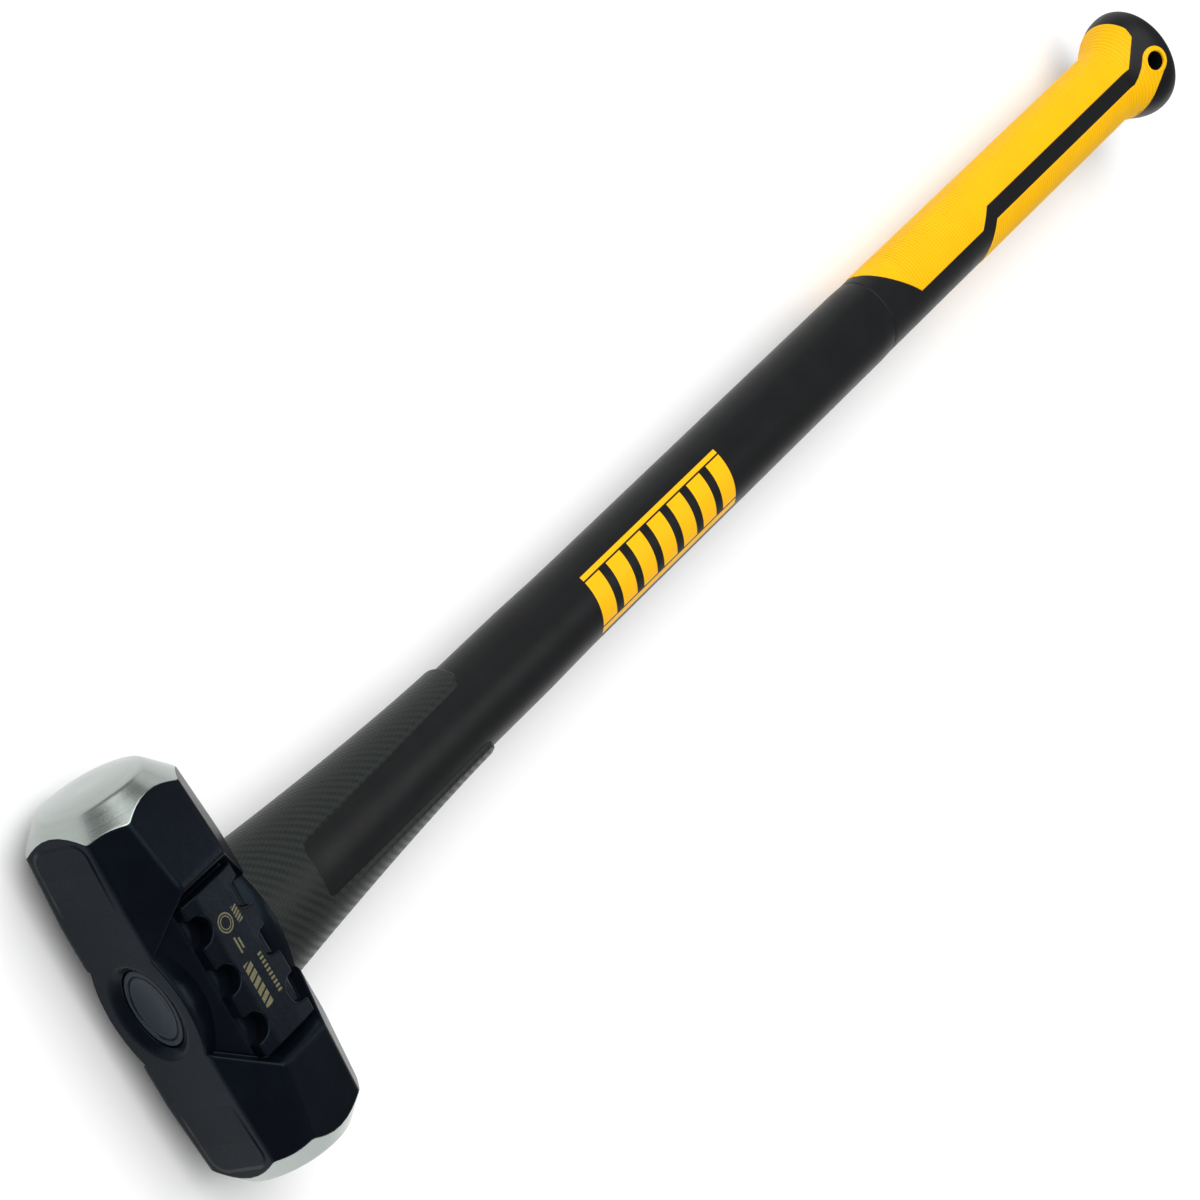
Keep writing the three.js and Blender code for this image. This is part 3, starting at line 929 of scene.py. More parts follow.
@dataclass
class Head:
    """The forged head: waisted octagonal bar, turned ends, cheek pads and eye bosses."""

    shop: Workshop
    half_length: float = 89.0
    end: Section = Section(28.9, 29.5, 18.2, 17.2)
    crest: Section = Section(31.4, 36.2, 20.0, 14.5)
    floor: Section = Section(31.4, 29.2, 12.4, 14.6)
    pit: Section = Section(31.4, 26.75, 12.4, 17.05)
    crest_start: float = 40.7
    crest_end: float = 43.7
    top_start: float = 22.5
    wall_run: float = 3.5
    pad_half: float = 35.5
    face_radius: float = 24.8
    bevel_slope: float = 0.93
    crown: float = 2.6
    edge_cut: float = 1.7
    face_ring: float = 17.4
    face_flat: float = 10.0
    boss_half: Pair = (22.0, 18.3)
    boss_floor: float = -24.0

    def bar(self) -> Shell:
        """The octagonal bar from face to face.

        Rounded octagons stand at the waist, the step under the pad's end, the foot and the rim of
        the waist's wall, and the end of the crest. From there each point runs straight towards
        the end octagon until it meets the bevel cone, whose radius grows by the slope for each
        millimetre back from the face's edge, and then down the cone to the face.

        Returns:
            The bar, its bevels and faces painted as steel.
        """
        foot, lag = self.crest_start - self.wall_run, self.crest_start - self.top_start
        step = self.pad_half - 0.15
        stations = [
            self.pit.corners(0.0, 0.0),
            self.pit.corners(step, step - lag),
            self.floor.corners(step + 0.1, step + 0.1 - lag),
            self.floor.corners(foot, foot - lag),
            self.crest.corners(self.crest_start, self.top_start),
            self.crest.corners(self.crest_end, self.crest_end),
            self.end.corners(self.half_length, self.half_length),
        ]
        rings = rounded_ring(np.array(stations), self.edge_cut, 9)
        edge_x = self.half_length - self.crown
        near, run = rings[5], rings[6] - rings[5]
        ramp, slope = self.face_radius + self.bevel_slope * (edge_x - near[:, 0]), self.bevel_slope
        a = run[:, 1] ** 2 + run[:, 2] ** 2 - (slope * run[:, 0]) ** 2
        b = 2 * (near[:, 1] * run[:, 1] + near[:, 2] * run[:, 2] + slope * ramp * run[:, 0])
        c = near[:, 1] ** 2 + near[:, 2] ** 2 - ramp**2
        share = (-b + np.sqrt(b * b - 4 * a * c)) / (2 * a)
        bound = near + run * share[:, None]
        out = bound[:, 1:] / np.linalg.norm(bound[:, 1:], axis=1, keepdims=True)
        tip, crown = self.half_length, self.crown
        face = [(self.face_radius, edge_x), (self.face_ring, tip - 0.3 * crown)]
        face += [(self.face_flat, tip), (0.0, tip)]
        caps = [np.column_stack([np.full(len(out), x), out * r]) for r, x in face]
        keys = np.stack([*rings[:6], bound, *caps])
        cuts = [0.0, 0.3, 0.5, 1.3, 1.5, 4.0, 0.7, 1.3, 3.0, 3.0, 0.0]
        fill = [12, 1, 1, 4, 6, 10, 6, 5, 4, 6]
        arc, bound_key = 6, 6
        half = rounded(keys, cuts, fill, arc)
        bound_row = 1 + sum(fill[:bound_key]) + arc * (bound_key - 1) + arc // 2
        half = self._sunk(half)
        mirrored = half[::-1] * np.array([-1.0, 1.0, 1.0])
        rows = np.concatenate([mirrored[:-1], half])
        band = np.arange(len(rows) - 1)
        away = np.minimum(band, len(rows) - 2 - band)
        paints = (away < len(half) - 1 - bound_row).astype(int)
        return Shell(rows, paints=paints)

    def _sunk(self, rows: Grid) -> Grid:
        """Lowers the bar's top inside the eye boss, where the boss's own mouth shows.

        Args:
            rows: the bar's points.

        Returns:
            The points, with those inside the boss's oval on its floor.
        """
        x, y, z = rows[..., 0], rows[..., 1], rows[..., 2]
        half_x, half_z = self.boss_half
        inside = ((x / half_x) ** 2 + (z / half_z) ** 2 < 1.0) & (y < self.boss_floor)
        sunk = rows.copy()
        sunk[..., 1] = np.where(inside, self.boss_floor, y)
        return sunk

    def build(self) -> bpy.types.Object:
        """The head as one piece.

        Returns:
            The head.
        """
        shells = [self.bar()]
        shells += [CheekPad(side=side).shell() for side in BOTH]
        shells += [EyeBoss(top=-1.0).shell(), EyeBoss(top=1.0).shell()]
        centre = self.shop.centre
        finishes = [kind(centre=centre) for kind in (ForgedPaint, TurnedSteel, EtchedPaint)]
        return self.shop.make("forged_head", "head_paint", shells, finishes, ["head"])


@dataclass(frozen=True)
class CheekPad:
    """The raised pad on one cheek, with round-ended scoops cut in from its long edges."""

    side: float
    half_length: float = 35.5
    half_width: float = 16.6
    top: float = 33.7
    fall: float = 0.9
    flat_half: float = 8.0
    bottom: float = 24.0
    scoop_radius: float = 6.05
    scoop_pitch: float = 22.8
    scoop_inner: float = 8.1
    draft: float = 0.25
    corner: float = 1.0
    edge: float = 0.75

    def _edge_line(self) -> Grid:
        """The long edge as points from left to right: straight runs, tooth corners and scoop ends.

        Returns:
            (N, 2) points.
        """
        pieces = []
        centre_y = self.scoop_inner + self.scoop_radius
        left = np.array([-self.half_length, self.half_width])
        pieces.append(self._turn(left + [0, -self.corner], left, left + [self.corner, 0]))
        for step in (-1.0, 0.0, 1.0):
            middle = step * self.scoop_pitch
            reach = self.scoop_radius + self.draft
            for sign in (-1.0, 1.0):
                mouth = np.array([middle + sign * reach, self.half_width])
                wall = np.array([middle + sign * self.scoop_radius, centre_y])
                along = np.array([sign * self.corner, 0.0])
                down = (wall - mouth) / np.linalg.norm(wall - mouth) * self.corner
                if sign < 0:
                    pieces.append(self._turn(mouth + along, mouth, mouth + down))
                    turn = np.linspace(np.pi, FULL_TURN, 25)
                    arc = np.column_stack([np.cos(turn), np.sin(turn)]) * self.scoop_radius
                    pieces.append(arc + [middle, centre_y])
                else:
                    pieces.append(self._turn(mouth + down, mouth, mouth + along))
        right = np.array([self.half_length, self.half_width])
        pieces.append(self._turn(right + [-self.corner, 0], right, right + [0, -self.corner]))
        return np.concatenate(pieces)

    @staticmethod
    def _turn(start: Grid, corner: Grid, end: Grid) -> Grid:
        """A rounded corner from start to end, pulled towards the corner."""
        s = np.linspace(0.0, 1.0, 5)[:, None]
        return (1 - s) ** 2 * start + 2 * s * (1 - s) * corner + s * s * end

    def _cap(self, line: Grid, inset: float, across: int = 33) -> Grid:
        """The pad's plan as a grid between its two long edges, drawn in by the inset.

        Args:
            line: the long edge's points.
            inset: how far the plan is drawn in.
            across: rows from one long edge to the other.

        Returns:
            (across, N, 2) points.
        """
        tangent = np.gradient(line, axis=0)
        tangent /= np.linalg.norm(tangent, axis=1, keepdims=True)
        normal = np.column_stack([-tangent[:, 1], tangent[:, 0]])
        normal[0], normal[-1] = (-1.0, 0.0), (1.0, 0.0)
        drawn = line - normal * inset
        shares = np.sin(np.linspace(np.pi / 2, -np.pi / 2, across))
        x = np.broadcast_to(drawn[:, 0], (across, len(line)))
        return np.stack([x, shares[:, None] * drawn[:, 1]], axis=-1)

    def _height(self, plan: Grid) -> Grid:
        """The pad's top over its plan: level in the middle, then falling to both long edges.

        Args:
            plan: (..., 2) points in X and Y.

        Returns:
            A height for each.
        """
        run = (np.abs(plan[..., 1]) - self.flat_half) / (self.half_width - self.flat_half)
        soft = np.clip(run, 0.0, 1.0)
        return self.top - self.fall * soft * np.clip(soft * 4.0, 0.0, 1.0)

    def shell(self) -> Shell:
        """The pad as a closed shell: down one side of every edge, over the top and underneath.

        The boundary loop of the plan grid is swept through the wall and the edge's quarter round,
        and the plan grids close it above and below.

        Returns:
            The pad.
        """
        line = self._edge_line()
        profile = [(0.0, None), (0.0, self.edge + 1.5), *quarter_round(self.edge, 6)]
        loops = []
        for inset, drop in profile:
            cap = self._cap(line, inset)
            height = np.full(cap.shape[:2], self.bottom) if drop is None else self._height(cap) - drop
            solid = np.concatenate([cap, height[..., None]], axis=-1)
            loops.append(self._around(solid))
        top = self._cap(line, self.edge)
        top = np.concatenate([top, self._height(top)[..., None]], axis=-1)
        base = self._cap(line, 0.0)
        base = np.concatenate([base, np.full((*base.shape[:2], 1), self.bottom)], axis=-1)
        flip = np.array([1.0, 1.0, self.side])
        return PadShell(rows=np.stack(loops) * flip, caps=[top * flip, base * flip])

    @staticmethod
    def _around(grid: Grid) -> Grid:
        """A grid's boundary points, once round."""
        return np.concatenate([grid[0], grid[1:-1, -1], grid[-1, ::-1], grid[-2:0:-1, 0]])


@dataclass
class PadShell(Shell):
    """A swept boundary with a plan grid above and below it."""

    caps: Sequence[Grid] = field(default_factory=list)
    paint: int = 2

    def __post_init__(self) -> None:
        """Lays all the points end to end, as one column, and keeps the grids' sizes."""
        self._grids = [Shell(self.rows), *[Shell(cap, closed_across=False) for cap in self.caps]]
        stacked = np.concatenate([g.rows.reshape(-1, 3) for g in self._grids])
        self.rows = stacked[:, None, :]

    def faces(self) -> tuple[Grid, Grid]:
        """The faces of the swept loop and both plan grids, all in the pad's paint.

        Returns:
            The faces and their material numbers.
        """
        start, quads = 0, []
        for grid in self._grids:
            quads.append(grid.faces()[0] + start)
            start += grid.rows.shape[0] * grid.rows.shape[1]
        every = np.concatenate(quads)
        return every, np.full(len(every), self.paint)


@dataclass(frozen=True)
class EyeBoss:
    """The lens-shaped boss round the eye, with its rounded edge and countersunk mouth."""

    top: float
    surface: float = 31.41
    half_length: float = 24.0
    arc_radius: float = 55.8
    arc_drop: float = 32.5
    edge: float = 0.8
    mouth: Pair = (21.9, 17.6)
    hole: Pair = (18.5, 12.5)
    depth: float = 3.5
    floor: float = 20.0
    lip: float = 0.7
    columns: int = 128

    def _outline(self, inset: float) -> Grid:
        """The boss's outline in X and Z: two shallow arcs and two square ends.

        Each direction meets its arc, whose centre lies beyond the middle, or the square end,
        whichever is nearer.

        Args:
            inset: how far the outline is drawn in.

        Returns:
            (columns, 2) points.
        """
        turn = np.linspace(0.0, FULL_TURN, self.columns, endpoint=False)
        across, up = np.sin(turn) * self.mouth[0], np.cos(turn) * self.mouth[1]
        size = np.hypot(across, up)
        across, up = across / size, np.abs(up / size)
        radius, drop = self.arc_radius - inset, self.arc_drop
        to_arc = np.sqrt((drop * up) ** 2 + radius**2 - drop**2) - drop * up
        to_end = (self.half_length - inset) / np.maximum(np.abs(across), 1e-9)
        reach = np.minimum(to_arc, to_end)
        return np.column_stack([across * reach, np.sign(np.cos(turn)) * up * reach])

    def _oval(self, half: Pair) -> Grid:
        """An oval in X and Z."""
        turn = np.linspace(0.0, FULL_TURN, self.columns, endpoint=False)
        return np.column_stack([np.sin(turn) * half[0], np.cos(turn) * half[1]])

    def shell(self) -> Shell:
        """A closed ring: up the outside, over the rounded edge, across the top and down the eye.

        Returns:
            The boss.
        """
        rows = [(self._outline(0.0), self.floor), (self._outline(0.0), self.surface - self.edge - 1)]
        for inset, drop in quarter_round(self.edge, 5):
            rows.append((self._outline(inset), self.surface - drop))
        outer = self._oval((self.mouth[0] + self.lip, self.mouth[1] + self.lip))
        rows.append((outer, self.surface))
        for s in np.linspace(0.0, 1.0, 12):
            dip = self.depth * s**1.25
            swell = 1 - s
            half = tuple(h + (m + self.lip * 0.4 - h) * swell for h, m in zip(self.hole, self.mouth))
            rows.append((self._oval(half), self.surface - 0.12 - dip))
        rows.append((self._oval(self.hole), self.floor))
        points = [np.column_stack([p[:, 0], np.full(len(p), self.top * y), p[:, 1]]) for p, y in rows]
        return Shell(np.stack(points), closed_along=True)


@dataclass
class EyeCap:
    """The oval cap in the eye: a raised rim, a fine groove and a shallow dish."""

    shop: Workshop
    half: Pair = (18.2, 12.2)
    rim_top: float = 27.9
    bottom: float = 22.9
    profile: tuple[Pair, ...] = (
        (1.0, 5.0), (1.0, 0.5), (0.985, 0.15), (0.955, 0.0), (0.875, 0.02), (0.855, 0.12),
        (0.845, 0.85), (0.825, 0.9), (0.81, 0.35), (0.775, 0.25), (0.7, 0.55), (0.6, 0.95), (0.45, 1.3),
        (0.3, 1.5), (0.0, 1.6),
    )
    narrowing: float = 0.75
    columns: int = 96

    def build(self) -> bpy.types.Object:
        """The cap as one piece; each profile pair is a share of its half length and a drop.

        The half width shrinks by a steady part of what the half length loses.

        Returns:
            The cap.
        """
        turn = np.linspace(0.0, FULL_TURN, self.columns, endpoint=False)
        half_x, half_z = self.half
        rows = [np.zeros((self.columns, 3)) + [0.0, -self.bottom, 0.0]]
        for share, drop in self.profile:
            x = np.sin(turn) * half_x * share
            z = np.cos(turn) * max(half_z - half_x * (1 - share) * self.narrowing, 0.0)
            rows.append(np.column_stack([x, np.full(self.columns, drop - self.rim_top), z]))
        rows[-1][:] = [0.0, self.profile[-1][1] - self.rim_top, 0.0]
        shells = [Shell(np.stack(rows))]
        return self.shop.make("eye_cap_moulding", "cap_plastic", shells, [CapPlastic()], ["eye_cap"])


# ---------------------------------------------------------------- the handle


@dataclass(frozen=True)
class Handle:
    """The handle's outer shape: half sizes of its oval section at any distance along it."""

    shoulder: Pair = (21.0, 16.8)
    shaft: Pair = (20.4, 16.3)
    grip: Pair = (20.1, 16.0)
    flare: Pair = (29.2, 25.0)
    shoulder_end: float = 240.0
    taper: float = 50.0
    butt: float = 858.6
    flare_start: float = 40.6
    flare_widest: float = 8.6
    dome_power: float = 3.3

    def shaft_half(self, y: Grid) -> Grid:
        """The shaft's half sizes: the shoulder easing into the plain shaft."""
        share = eased((y - self.shoulder_end) / self.taper)[..., None]
        return np.array(self.shoulder) * (1 - share) + np.array(self.shaft) * share

    def grip_half(self, y: Grid) -> Grid:
        """The grip's half sizes: straight, easing out into the flare, then a squarish dome.

        Args:
            y: distances along the handle.

        Returns:
            (..., 2) half sizes.
        """
        left = self.butt - y
        swell = eased((self.flare_start - left) / (self.flare_start - self.flare_widest))[..., None]
        size = np.array(self.grip) * (1 - swell) + np.array(self.flare) * swell
        rise = np.clip(1 - left / self.flare_widest, 0.0, 1.0)
        dome = (1 - rise**self.dome_power) ** (1 / self.dome_power)
        return size * dome[..., None]

    @staticmethod
    def ring(y: Grid, half: Grid, turn: Grid, proud: Grid) -> Grid:
        """Points round the oval: x is a sin(turn), z is b cos(turn), each half grown by proud.

        Args:
            y: distances along the handle.
            half: the half sizes a and b.
            turn: angles round from the upper face.
            proud: how far each point stands out.

        Returns:
            (R, C, 3) rows.
        """
        x = (half[..., 0] + proud) * np.sin(turn)
        z = (half[..., 1] + proud) * np.cos(turn)
        return np.stack([x, np.broadcast_to(y, x.shape), z], axis=-1)


@dataclass
class Tube:
    """Closed oval tubes along the handle: the shaft, and the sleeve of the grip after it."""

    shop: Workshop
    handle: Handle
    columns: int = 144
    shaft_span: Pair = (31.7, 559.6)
    shaft_step_down: float = 8.6
    sleeve_span: Pair = (558.6, 814.0)

    def rows(self, y: Grid, half: Grid) -> Grid:
        """Rings at the distances given, closed at both ends on the axis.

        Args:
            y: distances along the handle.
            half: the half sizes at each.

        Returns:
            (R, C, 3) rows.
        """
        turn = np.linspace(0.0, FULL_TURN, self.columns, endpoint=False)
        body = self.handle.ring(y[:, None], half[:, None, :], turn[None], np.zeros((1, 1)))
        first = np.broadcast_to([0.0, y[0], 0.0], (1, self.columns, 3))
        last = np.broadcast_to([0.0, y[-1], 0.0], (1, self.columns, 3))
        return np.concatenate([first, body, last])

    def shaft(self, guard: "Guard") -> bpy.types.Object:
        """The black shaft from the head to the grip, swelling under the guard to fill its windows.

        Args:
            guard: the guard over it.

        Returns:
            The shaft.
        """
        start, end = self.shaft_span
        taper = self.handle.shoulder_end, self.handle.shoulder_end + self.handle.taper
        y = np.concatenate([
            [start], np.linspace(start + 1, taper[0] - 2, 40), np.linspace(*taper, 20),
            np.linspace(taper[1] + 2, end - 0.05, 66), [end],
        ])
        half = np.where(y[:, None] < guard.start + guard.length, guard.filling(y), self.handle.shaft_half(y))
        down = eased((y - end) / self.shaft_step_down + 1)[:, None]
        half = half - (np.array(self.handle.shaft) - self.handle.grip) * down
        finish = ShaftPolymer(centre=self.shop.centre)
        shell = Shell(self.rows(y, half))
        return self.shop.make("shaft_polymer_jacket", "shaft_plastic", [shell], [finish], ["shaft_jacket"])

    def sleeve(self) -> bpy.types.Object:
        """The black grip under and between the yellow panels.

        Returns:
            The sleeve.
        """
        start, end = self.sleeve_span
        y = np.append(np.linspace(start, end - 0.05, 120), end)
        shell = Shell(self.rows(y, self.handle.grip_half(y)))
        finish = Moulded(name="grip_black", roughness=0.42)
        return self.shop.make("grip_sleeve_black", "grip_black", [shell], [finish], ["grip_sleeve"])


@dataclass
class Guard:
    """The overstrike guard: a collar that splits into two wings, one over each side of the shaft."""

    shop: Workshop
    handle: Handle
    start: float = 31.7
    length: float = 164.6
    foot: Pair = (32.9, 21.8)
    tip: Pair = (23.0, 18.1)
    taper_power: float = 1.5
    window: float = 33.0
    window_half: Pair = (13.2, 15.2)
    window_corner: float = 6.0
    tip_round: Pair = (5.0, 6.5)
    edge_width: Pair = (1.0, 2.3)
    edge_depth: float = 1.5
    filling_depth: tuple[Pair, Pair] = ((1.3, 1.3), (2.0, 1.3))
    columns: int = 90

    def filling(self, y: Grid) -> Grid:
        """The half sizes of the shaft under the guard: the guard's outside less a slow recess.

        Args:
            y: distances along the handle.

        Returns:
            (R, 2) half sizes.
        """
        ends = [self.start + self.window, self.start + self.length]
        recess = [np.interp(y, ends, pair) for pair in zip(*self.filling_depth)]
        return self._outer(y) - np.stack(recess, axis=-1)

    def _outer(self, y: Grid) -> Grid:
        """Half sizes outside: straight across the cheeks' way, flaring faster along the head.

        Args:
            y: distances along the handle.

        Returns:
            (R, 2) half sizes.
        """
        left = 1 - (y - self.start) / self.length
        a = self.tip[0] + (self.foot[0] - self.tip[0]) * np.maximum(left, 0) ** self.taper_power
        b = self.tip[1] + (self.foot[1] - self.tip[1]) * left
        return np.stack([a, b], axis=-1)

    def _gap(self, y: Grid) -> Grid:
        """Half the window's width: nought on the collar, a rounded corner, then slowly widening.

        Args:
            y: distances along the handle.

        Returns:
            (R,) half widths, which widen faster again round the wing's tip.
        """
        foot, end = self.start + self.window, self.start + self.length
        up = np.clip((y - foot) / self.window_corner, 0.0, 1.0)
        corner = self.window_corner * (1 - np.sqrt(np.maximum(1 - (1 - up) ** 2, 0.0)))
        wide = np.interp(y, [foot, end], self.window_half)
        rise = np.clip((y - (end - self.tip_round[1])) / self.tip_round[1], 0.0, 1.0)
        rounding = self.tip_round[0] * (1 - np.sqrt(np.maximum(1 - rise**2, 0.0)))
        return np.where(y > foot, wide - corner + rounding, 0.0)

    def _half(self, side: float) -> Shell:
        """One wing and its half of the collar, as closed loops: out over the top and back inside.

        The outer face runs from one window edge to the other and rounds down over both edges;
        the inner face lies just under the shaft's surface.

        Args:
            side: the sign along the head.

        Returns:
            The half.
        """
        foot, end = self.start + self.window, self.start + self.length
        corner = foot + self.window_corner * (1 - np.cos(np.linspace(0.0, np.pi / 2, 14)))
        tip = end - self.tip_round[1] * (1 - np.sin(np.linspace(0.0, np.pi / 2, 14)))
        y = np.concatenate([
            [self.start], np.linspace(self.start + 0.4, foot - 0.3, 24), [foot - 0.02], corner + 0.02,
            np.linspace(corner[-1] + 1, tip[0] - 0.5, 60), tip,
        ])
        outer = self._outer(y)
        fall = np.interp(y, [self.start, self.start + 0.5, end - 1.2, end], [0.35, 0.0, 0.0, 1.1])
        inner = self.handle.shaft_half(y) - 0.4
        limit = np.arcsin(np.clip(self._gap(y) / outer[:, 0], 0.0, 1.0))
        share = np.linspace(-1.0, 1.0, self.columns)
        share = np.sign(share) * (1 - (1 - np.abs(share)) ** 1.5)
        share = np.insert(share, [1, len(share) - 1], [-0.9998, 0.9998])
        span = np.pi / 2 - limit
        turn = np.pi / 2 + share[None] * span[:, None]
        arc_left = (1 - np.abs(share))[None] * span[:, None] * (outer.mean(axis=1)[:, None])
        width = np.interp(y, [foot, foot + 30.0], self.edge_width)
        bevel = np.where(self._gap(y) > 0, width, 0.0)[:, None]
        tuck = np.clip(1 - arc_left / np.maximum(bevel, 1e-6), 0.0, 1.0)
        drop = self.edge_depth * tuck**1.4 * (bevel > 0) + fall[:, None]
        over = self.handle.ring(y[:, None], outer[:, None, :], turn, -drop)
        under = self.handle.ring(y[:, None], inner[:, None, :], turn[:, ::-1], np.zeros((1, 1)))
        across = turn * outer.mean(axis=1)[:, None] * side
        flat = np.stack([across, np.broadcast_to(y[:, None], across.shape), across * 0], axis=-1)
        wrap = np.concatenate([flat, flat[:, ::-1]], axis=1)
        wrap = np.concatenate([wrap[:1], wrap, wrap[-1:]])
        rows = capped(np.concatenate([over, under], axis=1))
        return Shell(rows * np.array([side, 1.0, 1.0]), wrap=wrap)

    def build(self) -> bpy.types.Object:
        """Both halves as one piece, without the wall left standing where they meet in the collar.

        Returns:
            The guard.
        """
        shells = [self._half(side) for side in BOTH]
        guard = self.shop.make("guard_wings", "guard_weave", shells, [TwillWeave()], ["overstrike_guard"])
        work = bmesh.new()
        work.from_mesh(guard.data)
        inside = [face for face in work.faces if all(abs(v.co.x) < 1e-7 for v in face.verts)]
        bmesh.ops.delete(work, geom=inside, context="FACES")
        work.to_mesh(guard.data)
        work.free()
        return guard


class PanelSide(Enum):
    """Which side of the grip a panel wraps."""

    WIDE = -1.0
    NARROW = 1.0


# Each panel's upper edge: distance along the handle, and how far the panel reaches past the
# middle of the upper face, away from its own side.
PANEL_EDGES: dict[PanelSide, tuple[Pair, ...]] = {
    PanelSide.WIDE: (
        (566.5, -20.0), (568.0, -19.0), (577.0, -9.3), (587.5, 1.6), (589.8, 4.1), (654.4, 4.1),
        (666.0, -4.1), (824.5, -4.1), (833.0, -12.0), (838.5, -16.5), (841.0, -22.0),
    ),
    PanelSide.NARROW: (
        (655.6, -18.5), (669.0, -4.1), (825.0, -4.1), (826.0, -11.0), (828.5, -21.5), (829.5, -23.0),
    ),
}


@dataclass(frozen=True)
class Ribs:
    """Fine ribs across the grip: pitch, height and how far they stay clear of an edge."""

    pitch: float = 2.2
    height: float = 0.3
    margin: float = 1.4

    def lift(self, y: Grid, inland: Grid) -> Grid:
        """The ribs' height: a cosine along the handle, faded out towards the panel's edge.

        Args:
            y: distances along the handle.
            inland: how far each point lies from the panel's edge.

        Returns:
            Heights, from nought on a crest down to the rib's depth between crests.
        """
        wave = 0.5 - 0.5 * np.cos(FULL_TURN * y / self.pitch)
        return self.height * (wave - 1.0) * eased((inland - self.margin * 0.5) / self.margin)


@dataclass
class GripPanel:
    """A yellow ribbed panel wrapped round one side of the grip."""

    shop: Workshop
    handle: Handle
    side: PanelSide
    edge_points: tuple[Pair, ...]
    nodes: Sequence[str]
    proud: float = 0.3
    edge: float = 0.8
    edge_drop: float = 0.95
    sunk: float = 1.2
    columns: int = 61
    ribs: Ribs = Ribs()

    def _edge_x(self, y: Grid) -> Grid:
        """How far the panel reaches across the upper face at each distance along the grip."""
        along, across = np.array(self.edge_points).T
        return np.interp(y, along, across)

    def body(self) -> Shell:
        """The wrapped part, as closed loops: over the outside and back just under the grip.

        The loop's ends lie where x, measured away from the panel's own side, is the edge's reach,
        so each column's turn runs evenly from the upper edge round the side to the lower edge.

        Returns:
            The panel.
        """
        along = np.array(self.edge_points)[:, 0]
        first, last = along[0], along[-1]
        y = np.unique(np.concatenate([np.arange(first, last, self.ribs.pitch / 4), along]))
        half = self.handle.grip_half(y)
        reach = np.clip(self._edge_x(y) / half[:, 0], -0.9999, 0.9999)
        span = np.pi / 2 + np.arcsin(reach)
        share = np.sin(np.linspace(-np.pi / 2, np.pi / 2, self.columns))
        share = np.sign(share) * np.abs(share) ** 0.9
        turn = np.pi / 2 + share[None] * span[:, None]
        inland = (1 - np.abs(share))[None] * span[:, None] * half.mean(axis=1)[:, None]
        ends = np.minimum(y - first, last - y)[:, None]
        slope = np.abs(np.gradient(self._edge_x(y), y))[:, None]
        inland = np.minimum(inland / np.sqrt(1 + np.minimum(slope, 50.0) ** 2), ends + 1e-6)
        tuck = np.clip(1 - inland / self.edge, 0.0, 1.0)
        drop = self.edge_drop * (1 - np.sqrt(1 - tuck**2)) - self.proud
        lift = self.ribs.lift(y[:, None], inland)
        over = self.handle.ring(y[:, None], half[:, None, :], turn, lift - drop)
        under = self.handle.ring(y[:, None], half[:, None, :], turn[:, ::-1], -np.full((1, 1), self.sunk))
        rows = capped(np.concatenate([over, under], axis=1))
        return Shell(rows * np.array([self.side.value, 1.0, 1.0]))

    def build(self) -> bpy.types.Object:
        """The panel as one piece.

        Returns:
            The panel.
        """
        name = f"grip_panel_{self.side.name.lower()}_ribbed"
        finish = YellowRubber(phase=self.shop.centre[1] * MM)
        return self.shop.make(name, "grip_yellow", [self.body()], [finish], self.nodes)


